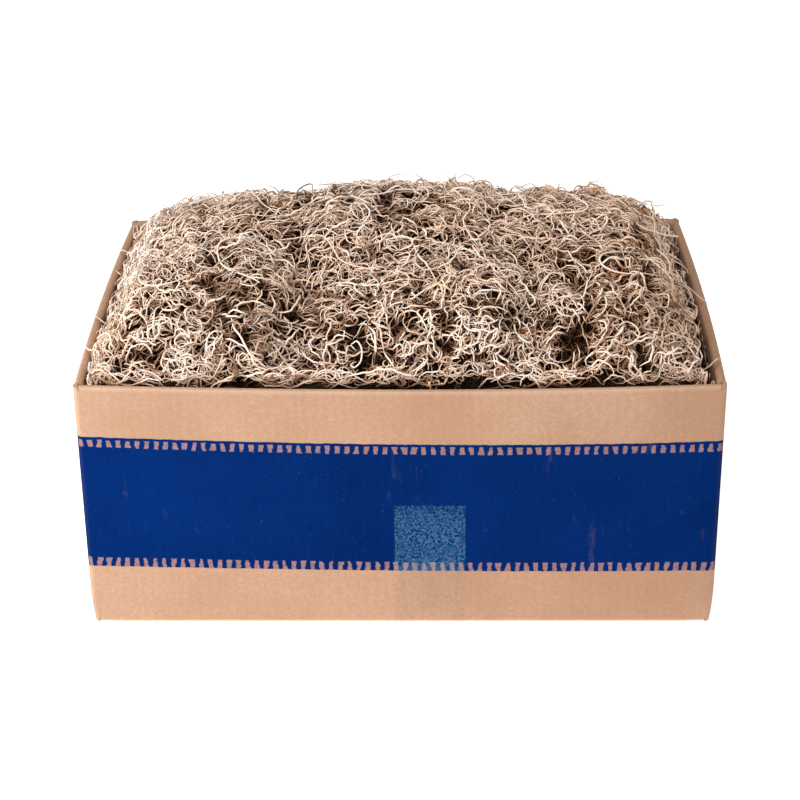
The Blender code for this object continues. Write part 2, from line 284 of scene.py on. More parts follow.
def kraft_layers(graph, place, along, light, dark):
    """Liner colour with soft patches, fibres, dark flecks and the lines of the flutes."""
    patches = graph.noise(place, 9.0, 4.0, 0.6)
    fibres = graph.noise(graph.mapped(place, (260.0, 260.0, 1500.0)), 1.0, 3.0, 0.7)
    flecks = graph.noise(place, 620.0, 2.0, 0.6)
    mottle = graph.noise(place, 430.0, 4.0, 0.8)
    ridges = flutes(graph, along)
    tone = graph.layered(
        graph.mix(graph.step(patches, 0.35, 0.68), light, dark),
        (fibres, 0.30, 0.78, 0.34, scaled(dark, 0.72)),
        (mottle, 0.36, 0.68, 0.44, scaled(dark, 0.74)),
        (mottle, 0.42, 0.26, 0.12, (0.78, 0.55, 0.40)),
        (flecks, 0.70, 0.80, 0.45, (0.16, 0.085, 0.045)),
        (flecks, 0.28, 0.18, 0.18, (0.80, 0.62, 0.46)),
        (ridges, -1.0, 1.0, 0.05, scaled(dark, 0.70)),
    )
    return tone, fibres * 0.35 + ridges * 0.16, fibres, patches


def finish_board(graph, tone, height, fibres, crease_wear_and_highlight, shine=0.10, cover=None):
    """Lighter creases, partly rubbed wear and partly a painted highlight on the folds, roughness
    and relief of a board. cover is where ink lies on it.
    """
    # The crease attribute lightens the folds: partly rubbed wear, partly a painted highlight.
    rub_and_highlight = graph.attribute("crease", "Fac")
    rough = graph.step(fibres, 0.2, 0.8, 0.68, 0.86)
    if cover is not None:
        rub_and_highlight = rub_and_highlight * (1.0 - cover * 0.9)
        rough = rough - cover * 0.22
    rub_and_highlight = rub_and_highlight * graph.step(fibres, 0.25, 0.6, 0.55, 1.0)
    return graph.finish(graph.mix(rub_and_highlight, tone, crease_wear_and_highlight), rough, shine, height, 0.55, 0.00035)


def plain_kraft(name, light, dark, crease_wear_and_highlight):
    graph = Graph(name)
    along = graph.board_map()[0]
    tone, height, fibres, _ = kraft_layers(graph, graph.object_place(), along, light, dark)
    return finish_board(graph, tone, height, fibres, crease_wear_and_highlight)


def node_kraft(name, light, dark):
    """Kraft for a node that keeps its own mesh: the flutes follow its place, not a map."""
    graph = Graph(name)
    place = graph.object_place()
    tone, height, fibres, _ = kraft_layers(graph, place, graph.parts(place)[0], light, dark)
    rough = graph.step(fibres, 0.2, 0.8, 0.7, 0.88)
    return graph.finish(tone, rough, PLAIN_SHINE, height, 0.5, 0.0003)


def stitches(graph, along, up, low, high, ink, seed):
    """Mask of one row of upright stitches, each with its own lean, width and ends."""
    cells = along / ink.stitch_pitch
    cell = graph.math("FLOOR", cells)
    chance = graph.made(
        "ShaderNodeTexWhiteNoise", {"W": cell + seed}, "Color", noise_dimensions="1D"
    )
    lean, size, end = graph.parts(chance, "ShaderNodeSeparateColor")
    rise = up - (low + high) / 2
    across = (cells - cell - 0.5) * ink.stitch_pitch
    across = graph.math("ABSOLUTE", across + rise * (lean * 0.34 - 0.17))
    half = size * (ink.stitch_width * 0.16) + ink.stitch_width * 0.40
    half = half + rise * (end * 0.34 - 0.17)
    soft = 0.00025
    short = size * 0.0006
    inside = graph.step(half - across, -soft, soft)
    above = graph.step(up - (short + low), -soft, soft)
    below = graph.step(high - (up + short), -soft, soft)
    return inside * (above * below)


def printed_kraft(name, carton, ink):
    """Liner with a flat band of ink that runs round the carton between two rows of stitches."""
    graph = Graph(name)
    place = graph.object_place()
    along, up, _ = graph.board_map()
    tone, height, fibres, patches = kraft_layers(
        graph, place, along, carton.kraft, carton.kraft_dark
    )
    low, high = ink.band_low, ink.band_high
    edge = up + (graph.noise(place, 160.0, 3.0, 0.6) * 0.0012 - 0.0006)
    shaky = along + (graph.noise(place, 310.0, 2.0, 0.6) * 0.0026 - 0.0013)
    soft = 0.00022
    band = graph.step(edge, low - soft, low + soft) * graph.step(edge, high + soft, high - soft)
    bare = graph.math(
        "MAXIMUM",
        stitches(graph, shaky, edge, high - 0.0078, high - 0.0017, ink, 3.0),
        stitches(graph, shaky, edge, low - 0.002, low + 0.0072, ink, 71.0),
    )
    bare = bare * graph.step(graph.noise(place, 420.0, 3.0, 0.7), 0.30, 0.52, 0.62, 1.0)
    pinholes = graph.step(graph.noise(place, 900.0, 2.0, 0.7), 0.69, 0.80, 0.0, 0.42)
    scuffs = graph.noise(graph.mapped(place, (60.0, 60.0, 16.0)), 1.0, 5.0, 0.75)
    scuffs = graph.step(scuffs, 0.60, 0.80, 0.0, 0.16)
    cover = band * (1.0 - graph.math("MAXIMUM", pinholes, scuffs))
    blue = graph.mix(graph.step(patches, 0.3, 0.7), ink.ink, scaled(ink.ink, 1.35))
    blue = graph.layered(blue, (flutes(graph, along), 0.1, 1.0, 0.12, scaled(ink.ink, 1.7)))
    stitch = graph.mix(graph.step(fibres, 0.3, 0.7), ink.bare, scaled(ink.bare, 0.72))
    tone = graph.mix(cover, tone, graph.mix(bare, blue, stitch))
    return finish_board(graph, tone, height, fibres, carton.crease_wear_and_highlight, 0.0, cover)


def board_edge(name, carton):
    """Cut edge of the board: two liners with the flutes waving between them."""
    graph = Graph(name)
    wave = graph.step(flutes(graph, graph.board_map()[0]), -0.6, 0.6)
    grain = graph.noise(graph.object_place(), 700.0, 3.0, 0.7)
    tone = graph.mix(wave, carton.kraft_dark, carton.kraft)
    tone = graph.layered(tone, (grain, 0.35, 0.75, 0.8, carton.kraft_inside))
    return graph.finish(tone, 0.85, PLAIN_SHINE, grain, 0.6, 0.0004)


def clear_tape(name, tape, ink):
    """Frosted film: a speckled haze with slanting scuffs, thinner where it lies on kraft."""
    graph = Graph(name)
    place = graph.object_place()
    up = graph.parts(place)[2]
    speckle = graph.noise(place, 730.0, 1.0, 0.6)
    slant = graph.mapped(place, (420.0, 60.0, 26.0), (0.0, math.radians(52), 0.0))
    scuffs = graph.noise(slant, 1.0, 4.0, 0.7)
    patches = graph.noise(place, 70.0, 3.0, 0.6)
    haze = graph.step(speckle, 0.38, 0.64, 0.005, 0.120)
    haze = haze + graph.step(scuffs, 0.60, 0.74, 0.0, 0.05)
    haze = haze + graph.step(patches, 0.45, 0.75, 0.0, 0.02)
    over_ink = graph.step(up, ink.band_low - 0.0008, ink.band_low + 0.0004)
    haze = haze * (over_ink * 0.46 + 0.54)
    haze = haze * graph.step(up, tape.rise - 0.014, tape.rise, 1.0, 0.55)
    graph.put(graph.shader.inputs["Alpha"], haze)
    blotch = graph.step(graph.noise(place, 360.0, 3.0, 0.75), 0.36, 0.62)
    on_kraft = graph.mix(blotch, (0.62, 0.54, 0.50), (0.14, 0.085, 0.055))
    on_ink = graph.mix(graph.step(patches, 0.3, 0.7), tape.haze, scaled(tape.haze, 0.8))
    rough = graph.step(scuffs, 0.3, 0.7, 0.34, 0.56)
    return graph.finish(graph.mix(over_ink, on_kraft, on_ink), rough, 0.10)


def moss_fibre(name, moss):
    """Strands: each has its own tone, is darkened by depth as painted shade and is specked along
    its length.
    """
    graph = Graph(name)
    tone, depth, warm = graph.parts(graph.attribute("moss", "Vector"))
    grain = graph.noise(graph.object_place(), 420.0, 3.0, 0.65)
    tone = graph.math("ADD", tone, grain * 0.36 - 0.18, clamp=True)
    low = graph.mix(graph.step(tone, 0.0, 0.42), moss.brown, moss.grey)
    colour = graph.mix(graph.step(tone, 0.36, 0.86), low, moss.pale)
    rust = graph.mix(graph.step(grain, 0.3, 0.7), (0.42, 0.13, 0.03), (0.62, 0.26, 0.07))
    colour = graph.mix(graph.step(warm, 0.90, 1.0), colour, rust)
    golden = graph.mix(1.0, colour, (1.0, 0.84, 0.64), "MULTIPLY")
    colour = graph.layered(colour, (warm, 0.0, 0.85, 0.75, golden))
    # Painted shade: deeper strands are darkened, towards moss.dark at the deepest.
    shade = graph.mix(graph.step(depth, 0.05, 0.60), (1.0, 1.0, 1.0), (0.66, 0.53, 0.43))
    shade = graph.mix(graph.step(depth, 0.25, 1.0), shade, moss.dark)
    colour = graph.mix(1.0, colour, shade, "MULTIPLY")
    rough = graph.step(grain, 0.2, 0.8, 0.72, 0.92)
    return graph.finish(colour, rough, 0.15, grain, 0.35, 0.0004)


def packed_moss(name):
    """The dense mass under the tangle: matted fibres, coloured almost black as painted deep shade.
    """
    graph = Graph(name)
    place = graph.object_place()
    bend = graph.noise(place, 55.0)
    fibres = graph.made(
        "ShaderNodeTexWave",
        {"Vector": place, "Scale": 95.0, "Distortion": 26.0, "Detail": 3.0, "Detail Scale": 1.6},
        "Fac", wave_type="BANDS", bands_direction="DIAGONAL",
    )
    # Painted shade: the mass's colour is kept near black, as the deep tangle looks in shade.
    tone = graph.layered(
        (0.022, 0.012, 0.007),
        (fibres, 0.35, 0.95, 0.55, (0.10, 0.060, 0.036)),
        (bend, 0.3, 0.7, 0.6, (0.016, 0.011, 0.008)),
    )
    return graph.finish(tone, 0.95, 0.05, fibres, 1.0, 0.002)


def pale_floor(name, glow):
    graph = Graph(name)
    grain = graph.noise(graph.object_place(), 3.0)
    graph.put(graph.shader.inputs["Emission Color"], (1, 1, 1, 1))
    graph.put(graph.shader.inputs["Emission Strength"], glow)
    tone = graph.mix(graph.step(grain, 0.2, 0.8), (0.93, 0.93, 0.93), (0.95, 0.95, 0.95))
    return graph.finish(tone, 0.9, 0.0)


def shared(name, make, *given):
    """A material that several pieces wear is made once."""
    return bpy.data.materials.get(name) or make(name, *given)


# Board


SIDES = {
    "front": (HALF_W, HALF_D, lambda u, v, z: (u, -v, z)),
    "right": (HALF_D, HALF_W, lambda u, v, z: (v, u, z)),
    "back": (HALF_W, HALF_D, lambda u, v, z: (-u, v, z)),
    "left": (HALF_D, HALF_W, lambda u, v, z: (-v, -u, z)),
}
# How the printed band rises along each wall, and how high it starts at the wall's middle
BAND_SLOPE = 0.0096
BAND_SKEW = {
    "front": (BAND_SLOPE, 0.0),
    "right": (0.0, BAND_SLOPE * HALF_W),
    "back": (-BAND_SLOPE, 0.0),
    "left": (0.0, -BAND_SLOPE * HALF_W),
}


def bulge(x, y, z, carton):
    """How much the moss stretches the carton in x and in y at each place."""
    rise = np.sin(math.pi / 2 * np.clip(z / BULGE_FULL_HEIGHT, 0, 1))
    front = (1 - (x / HALF_W) ** 2) * (1 + BULGE_LEAN * x / HALF_W)
    side = 1 - (y / HALF_D) ** 2
    return (
        1 + carton.side_bulge / HALF_W * side * rise,
        1 + carton.front_bulge / HALF_D * front * rise,
    )


def pressed_out(points, carton):
    """Where points of the square carton lie once the moss presses the walls outward."""
    x, y, z = np.moveaxis(points, -1, 0)
    stretch_x, stretch_y = bulge(x, y, z, carton)
    near_x, near_y = (
        np.clip((np.abs(place) - half + FOOT_REACH) / FOOT_REACH, 0, 1) ** 2
        for place, half in ((x, HALF_W), (y, HALF_D))
    )
    foot = np.clip(1 - z / FOOT_REACH, 0, 1) ** 2 * near_x * near_y
    return np.stack([
        x * stretch_x - np.sign(x) * FOOT_TUCK[0] * foot,
        y * stretch_y - np.sign(y) * FOOT_TUCK[1] * foot,
        z,
    ], -1)


def slab(outer, inner, uv=None, crease=None):
    """Points and faces of a closed sheet between two grids that face each other."""
    rows, columns = outer.shape[:2]
    if uv is None:
        uv, crease = np.zeros((rows, columns, 2)), np.zeros((rows, columns))
    count = rows * columns
    index = np.arange(count).reshape(rows, columns)
    corners = (index[:-1, :-1], index[:-1, 1:], index[1:, 1:], index[1:, :-1])
    face = np.stack(corners, -1).reshape(-1, 4)
    ring = np.concatenate([index[0], index[1:, -1], index[-1, -2::-1], index[-2:0:-1, 0]])
    after = np.roll(ring, -1)
    rim = np.stack([after, ring, ring + count, after + count], -1)
    return {
        "points": np.concatenate([outer.reshape(-1, 3), inner.reshape(-1, 3)]),
        "faces": np.concatenate([face, face[:, ::-1] + count, rim]),
        "slots": np.repeat([0, 1, 2], [len(face), len(face), len(rim)]),
        "uv": np.tile(uv.reshape(-1, 2), (2, 1)),
        "crease": np.tile(crease.reshape(-1), 2),
    }


def joined(slabs):
    start = np.cumsum([0] + [len(part["points"]) for part in slabs[:-1]])
    whole = {
        name: np.concatenate([part[name] for part in slabs])
        for name in ("points", "slots", "uv", "crease")
    }
    whole["faces"] = np.concatenate([part["faces"] + first for part, first in zip(slabs, start)])
    return whole


def closed_mesh(name, places, shape, materials, sharp=180):
    """A closed mesh that faces outward, smooth but for edges past an angle in degrees."""
    mesh = bpy.data.meshes.new(name)
    mesh.from_pydata(places.tolist(), [], shape["faces"].tolist())
    for material in materials:
        mesh.materials.append(material)
    if len(materials) > 1:
        mesh.polygons.foreach_set("material_index", shape["slots"].astype(np.int32))
    bm = bmesh.new()
    bm.from_mesh(mesh)
    bmesh.ops.recalc_face_normals(bm, faces=bm.faces)
    bm.to_mesh(mesh)
    bm.free()
    mesh.shade_smooth()
    if sharp < 180:
        mesh.set_sharp_from_angle(angle=math.radians(sharp))
    return mesh


def board_piece(name, slabs, materials, nodes, carton, sharp=35):
    """Makes one piece of board and seats it in the frame."""
    shape = joined(slabs)
    mesh = closed_mesh(name, pressed_out(shape["points"], carton), shape, materials, sharp)
    corners = np.empty(len(mesh.loops), np.int32)
    mesh.loops.foreach_get("vertex_index", corners)
    mesh.uv_layers.new(name="Board").uv.foreach_set("vector", shape["uv"][corners].ravel())
    mesh.attributes.new("crease", "FLOAT", "POINT").data.foreach_set("value", shape["crease"])
    return seated(name, mesh, nodes)


def seated(name, mesh, nodes):
    piece = bpy.data.objects.new(name, mesh)
    bpy.context.scene.collection.objects.link(piece)
    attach(piece, BODY)
    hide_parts(*nodes)
    return piece


def wall_columns(half, across, low, high, count):
    """Plan of a wall: its outer and inner points from low to high, rounded at the corners."""
    turn = CORNER_ROUND
    straight = half - turn
    flat = np.linspace(-straight, straight, count + 1)
    bend = np.linspace(0, math.pi / 4, 6)[1:]
    angle = np.concatenate([-bend[::-1], np.zeros(count + 1), bend])
    start = np.concatenate([np.full(5, -straight), flat, np.full(5, straight)])
    outer, inner = (
        np.stack([start + radius * np.sin(angle), across - turn + radius * np.cos(angle)], -1)
        for radius in (turn, turn - BOARD)
    )
    along = start + turn * angle
    keep = (along >= low - 1e-6) & (along <= high + 1e-6)
    return outer[keep], inner[keep], along[keep]


def wall_slab(side, low, high, foot, top, columns, rows):
    half, across, to_space = SIDES[side]
    outer, inner, along = wall_columns(half, across, low, high, columns)
    heights = np.linspace(foot, top, rows + 1)
    u, z = np.broadcast_arrays(along[None, :], heights[:, None])
    outer, inner = (
        np.stack(to_space(*np.broadcast_arrays(plan[:, 0], plan[:, 1], z)), -1)
        for plan in (outer, inner)
    )
    slope, level = BAND_SKEW[side]
    # Lighter strip round the rounded corners: partly rubbed wear, partly a painted highlight.
    crease = np.clip((np.abs(u) - half + CORNER_ROUND - 0.0006) / 0.0022, 0, 1) * 0.16
    return slab(outer, inner, np.stack([u, z + slope * u + level], -1), crease)


def rounded(centre, radius, start, stop, steps=7):
    angles = np.radians(np.linspace(start, stop, steps))
    return np.stack([centre[0] + radius * np.cos(angles), centre[1] + radius * np.sin(angles)], -1)


def swept_sheet(side, along, section):
    """Points of a section, each across and up, swept along a side."""
    grid = np.broadcast_arrays(along[None, :], section[:, :1], section[:, 1:])
    return np.stack(SIDES[side][2](*grid), -1)


def flap_slab(side, outer, inner, span, crease_at, columns, spine=0.0):
    """A flap swept along its crease from two matching sections."""
    along = np.linspace(-span, span, columns + 1)
    length = np.concatenate([[0], np.cumsum(np.hypot(*np.diff(outer, axis=0).T))]) + spine
    u, v, crease = np.broadcast_arrays(along[None, :], length[:, None], crease_at[:, None])
    outer, inner = (swept_sheet(side, along, section) for section in (outer, inner))
    return slab(outer, inner, np.stack([u, v], -1), crease)


def run(start, stop, count):
    return np.stack([np.linspace(start[k], stop[k], count + 1) for k in (0, 1)], -1)


def top_flap(side, extra, span, columns):
    """Over the wall's edge, then down inside it. extra widens the fold round another layer."""
    near = SIDES[side][1] - FOLD_OUTER
    far = near - extra
    outer, inner = (
        np.concatenate([
            rounded((near, WALL_TOP), radius, 0, 90),
            rounded((far, WALL_TOP), radius, 90, 180),
            run((far - radius, WALL_TOP), (far - radius, FLAP_END), 14)[1:],
        ])
        for radius in (FOLD_OUTER, FOLD_INNER)
    )
    # Lighter band round the rim's fold: partly rubbed wear, partly a painted highlight.
    crease = np.concatenate([[0.02, 0.06, 0.14, 0.30, 0.16, 0.06, 0.02], np.zeros(21)])
    return flap_slab(side, outer, inner, span, crease, columns, WALL_TOP)


def bottom_flap(side, floor, reach, span, columns):
    """Down from the wall's foot, round the crease and inward to reach."""
    centre = (SIDES[side][1] - FOLD_OUTER, floor + FOLD_OUTER)
    outer, inner = (
        np.concatenate([
            rounded(centre, radius, 0, -90),
            run((centre[0], centre[1] - radius), (reach, centre[1] - radius), 16)[1:],
        ])
        for radius in (FOLD_OUTER, FOLD_INNER)
    )
    if floor == 0:
        outer[:, 1] = np.maximum(outer[:, 1], FOOT_CLEAR)
    # Lighter band round the foot's fold: partly rubbed wear, partly a painted highlight.
    crease = np.concatenate([np.linspace(0.1, 0.5, 4), np.linspace(0.4, 0.1, 3), np.zeros(16)])
    return flap_slab(side, outer, inner, span, crease, columns)


def board_skins(carton, outer):
    """Finishes of a board: the one outside, the inner liner and the cut edge."""
    inside = carton.kraft_inside
    return (
        outer,
        shared("inner_kraft", plain_kraft, inside, scaled(inside, 0.8), carton.crease_wear_and_highlight),
        shared("board_edge", board_edge, carton),
    )


def flap_pieces(carton, part, make, flaps):
    """Makes a piece of board for each flap, from its side and the rest that make takes."""
    plain = shared("outer_kraft", plain_kraft, carton.kraft, carton.kraft_dark, carton.crease_wear_and_highlight)
    skins = board_skins(carton, plain)
    for side, *sizes in flaps:
        name = side + part
        board_piece(name + "_board", [make(side, *sizes)], skins, [name], carton, 50)


class MOSSBOX_OT_walls(bpy.types.Operator):
    """Build the four walls, printed outside and rounded at their creases"""
    bl_idname = "mossbox.walls"
    bl_label = "Carton walls"

    def execute(self, context):
        carton = context.scene.mossbox_carton
        ink = context.scene.mossbox_print
        skins = board_skins(carton, shared("printed_kraft", printed_kraft, carton, ink))
        for side, (half, _, _) in SIDES.items():
            wide = 2 * half
            foot, span, gap, columns = FOLD_OUTER + LAYER, half - LAYER * 2, half - LAYER, 34
            if side in ("front", "back"):
                foot, span, columns = FOLD_OUTER, half - FLAP_SLOT, 48
                gap = span + FOOT_CLEAR
            slabs = [wall_slab(side, -wide, wide, foot, WALL_TOP, columns, 20)]
            for reach, low, high in ((span, WALL_TOP, CORNER_TOP), (gap, CORNER_FOOT, foot)):
                for start, end in ((-wide, -reach), (reach, wide)):
                    slabs.append(wall_slab(side, start, end, low, high, 400, 2))
            board_piece(side + "_wall_board", slabs, skins, [side + "_wall"], carton)
        return {"FINISHED"}


class MOSSBOX_OT_top_flaps(bpy.types.Operator):
    """Build the top flaps, folded over the rim and tucked down inside the walls"""
    bl_idname = "mossbox.top_flaps"
    bl_label = "Top flaps"

    def execute(self, context):
        flap_pieces(context.scene.mossbox_carton, "_top_flap", top_flap, (
            ("front", 0.0, HALF_W - FLAP_SLOT, 64),
            ("back", LAYER, HALF_W - FLAP_SLOT, 64),
            ("left", 0.0, HALF_D - 2 * LAYER, 44),
            ("right", 0.0, HALF_D - 2 * LAYER, 44),
        ))
        return {"FINISHED"}


class MOSSBOX_OT_bottom_flaps(bpy.types.Operator):
    """Build the bottom flaps: two outer ones that meet on a seam, two inner ones above them"""
    bl_idname = "mossbox.bottom_flaps"
    bl_label = "Bottom flaps"

    def execute(self, context):
        flap_pieces(context.scene.mossbox_carton, "_bottom_flap", bottom_flap, (
            ("front", 0.0, 0.00015, HALF_W - FLAP_SLOT, 64),
            ("back", 0.0, 0.00015, HALF_W - FLAP_SLOT, 64),
            ("left", LAYER, 0.065, HALF_D - LAYER - 0.0003, 44),
            ("right", LAYER, 0.065, HALF_D - LAYER - 0.0003, 44),
        ))
        return {"FINISHED"}


class MOSSBOX_OT_glue_tab(bpy.types.Operator):
    """Give the glue tab inside the back wall its kraft"""
    bl_idname = "mossbox.glue_tab"
    bl_label = "Glue tab"

    def execute(self, context):
        carton = context.scene.mossbox_carton
        kraft = node_kraft("tab_kraft", carton.kraft, carton.kraft_dark)
        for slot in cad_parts["glue_tab"].material_slots:
            slot.material = kraft
        return {"FINISHED"}


class MOSSBOX_OT_tape(bpy.types.Operator):
    """Lay the clear tape up the front, under the bottom and up the back"""
    bl_idname = "mossbox.tape"
    bl_label = "Packing tape"

    def execute(self, context):
        scene = context.scene
        tape = scene.mossbox_tape
        columns = 24
        along = np.linspace(-tape.width / 2, tape.width / 2, columns + 1) + tape.centre
        centre = (HALF_D - FOLD_OUTER, FOLD_OUTER)
        teeth = TAPE_TOOTH * (np.arange(columns + 1) % 2)
        sheets = []
        for lift in (TAPE_LIFT + TAPE_THICK, TAPE_LIFT):
            radius = FOLD_OUTER + lift
            half = np.concatenate([
                run((centre[0] + radius, tape.rise), (centre[0] + radius, centre[1]), 16)[:-1],
                rounded(centre, radius, 0, -90),
                run((centre[0], -lift), (0.0, -lift), 12)[1:],
            ])
            half[:, 1] = np.maximum(half[:, 1], FOOT_CLEAR - lift)
            sheet = swept_sheet("front", along, np.concatenate([half, (half * (-1, 1))[-2::-1]]))
            sheet[[0, -1], :, 2] -= teeth
            sheets.append(sheet)
        shape = slab(*sheets)
        film = shared("clear_tape", clear_tape, tape, scene.mossbox_print)
        places = pressed_out(shape["points"], scene.mossbox_carton)
        mesh = closed_mesh("tape_film", places, shape, [film], 50)
        seated("tape_film", mesh, ["packing_tape"])
        return {"FINISHED"}


# Moss


PLAN_X = 0.2325
PLAN_Y = 0.1770
CELL = 0.0015
MOSS_SIDE = HALF_W - 2 * LAYER
MOSS_FRONT = -HALF_D + 2 * LAYER
MOSS_BACK = HALF_D - 3 * LAYER
FOOT_OF_HEAP = 0.176
CORE_DEPTH = 0.0078
LUMPS = [(0.030, 0.0030), (0.014, 0.0018)]
SHOULDER_LEFT = 0.1790
SHOULDER_RIGHT = 0.1745
SHOULDER_RISE = 1.6
FRONT_EDGE = 0.1886
CLUMP = 0.0085
CLUMP_DEPTH = 0.0060
GULLY_LEFT = 0.0045
GULLY_RIGHT = 0.0130
GULLY_WIDTH = 0.0058
HOLLOW_WIDTH = 0.80
HOLLOW_DEPTH = 0.85
LUMP_SEED = 4
FILL_PASSES = 150
FILL_DROP = 0.0004
# Depths under the heap's surface where painted shade on the strands starts and where it is full,
# and how near the front face it is lessened.
SHADE_START = 0.0003
SHADE_DEPTH = 0.0064
FRONT_LIT = 0.0065


class Cloud:
    """Smooth random numbers from -1 to 1 over the heap."""

    def __init__(self, dice, cell):
        self.cell = cell
        size = (int(2 * PLAN_X / cell) + 4, int(2 * PLAN_Y / cell) + 4)
        self.plan = dice.uniform(-1, 1, size)
        self.face = dice.uniform(-1, 1, size)

    def at(self, x, y, z):
        plan = read_grid(self.plan, x, y, self.cell, True)
        face = read_grid(self.face, x, z - 0.2, self.cell, True)
        return np.clip(0.75 * (plan + face), -1, 1)


def read_grid(grid, x, y, cell, soft=False):
    across = np.clip((x + PLAN_X) / cell, 0, grid.shape[0] - 1.001)
    down = np.clip((y + PLAN_Y) / cell, 0, grid.shape[1] - 1.001)
    i, j = across.astype(int), down.astype(int)
    s, t = across - i, down - j
    if soft:
        s, t = s * s * (3 - 2 * s), t * t * (3 - 2 * t)
    near = grid[i, j] * (1 - t) + grid[i, j + 1] * t
    far = grid[i + 1, j] * (1 - t) + grid[i + 1, j + 1] * t
    return near * (1 - s) + far * s


def blurred(grid, passes):
    for _ in range(passes):
        for axis in (0, 1):
            padded = np.pad(grid, [(1, 1) if k == axis else (0, 0) for k in (0, 1)], mode="edge")
            low = np.take(padded, range(grid.shape[axis]), axis)
            high = np.take(padded, range(2, grid.shape[axis] + 2), axis)
            grid = 0.5 * grid + 0.25 * (low + high)
    return grid


# Low swells and dips of the heap: x, y, width and height in millimetres
SWELLS = [
    (-67, 25, 26, 5.0), (4, 20, 22, 4.0), (101, 20, 28, -4.5), (163, 20, 22, -4.0),
    (-124, 20, 22, -4.0),
]

# Most points of HOLLOWS, DRIFTS, STANDOUT and ASTRAY were picked by eye on the photograph, and
# a scratch program worked out where they lie on the heap. Those at the back are guesses.

# Openings in the heap: x, y, width and depth in millimetres
HOLLOWS = [
    (-149, -140, 5, 7), (-165, -145, 6, 8), (-101, -143, 8, 10), (-71, -114, 9, 11),
    (-54, -124, 7, 10), (-64, -64, 6, 7), (-22, -150, 13, 13), (-6, -151, 10, 12),
    (24, -153, 8, 10), (31, -146, 6, 9), (114, -138, 11, 14), (109, -143, 8, 10),
    (122, -134, 7, 11), (151, -132, 6, 10), (79, -133, 6, 8), (38, -35, 6, 7), (42, -88, 7, 8),
    (-127, -86, 8, 7), (-113, -85, 7, 7), (69, -15, 7, 7), (74, -125, 7, 8), (122, -101, 7, 8),
    (164, -146, 6, 9), (204, -110, 6, 8), (202, -131, 7, 9), (122, -146, 7, 10), (-42, -153, 6, 8),
    (-104, -151, 6, 8), (-144, -150, 5, 7), (-186, -145, 6, 7), (60, 60, 8, 8), (-40, 110, 9, 9),
    (120, 120, 8, 8), (-140, 95, 9, 9), (150, 40, 7, 7), (-195, 20, 7, 8), (196, 60, 7, 8),
    (10, 140, 8, 8), (-90, 138, 8, 8), (75, 135, 9, 9),
]

# Duller places on the heap: x, y and width in millimetres, and how much tone they lose
DIM = [
    (165, -128, 48, 0.4), (-95, -135, 45, 0.18), (60, -130, 30, 0.08), (200, -60, 40, 0.14),
]

# How the strands run: x and y in millimetres, slope in degrees up to the right, curl from 0 to 1
DRIFTS = [
    (-187, 57, 50, 0.5), (-141, -16, 45, 0.45), (-107, 2, 28, 0.35), (-37, 8, 10, 0.3),
    (20, -11, 5, 0.35), (56, 26, -45, 0.3), (112, -5, -18, 0.35), (154, -4, -50, 0.3),
    (182, -18, -42, 0.3), (-187, -106, 20, 1.0), (-169, -84, 35, 0.75), (-119, -107, 25, 0.6),
    (-69, -47, 22, 0.45), (0, -71, 5, 0.6), (54, -83, -35, 0.5), (109, -51, -15, 0.5),
    (148, -87, -25, 0.5), (-199, -133, 15, 0.7), (-144, -148, 35, 0.6), (-98, -150, 38, 0.45),
    (-45, -150, 12, 0.45), (1, -150, 88, 0.55), (33, -145, 80, 0.6), (79, -141, 30, 1.0),
    (112, -150, 12, 0.6), (145, -147, 60, 0.6), (185, -139, 78, 0.55), (208, -60, 80, 0.6),
    (-110, 90, 30, 0.4), (0, 100, -10, 0.4), (110, 90, -30, 0.4), (-150, 140, 10, 0.6),
    (0, 140, 20, 0.5), (150, 138, -20, 0.6), (190, 90, -70, 0.5),
]


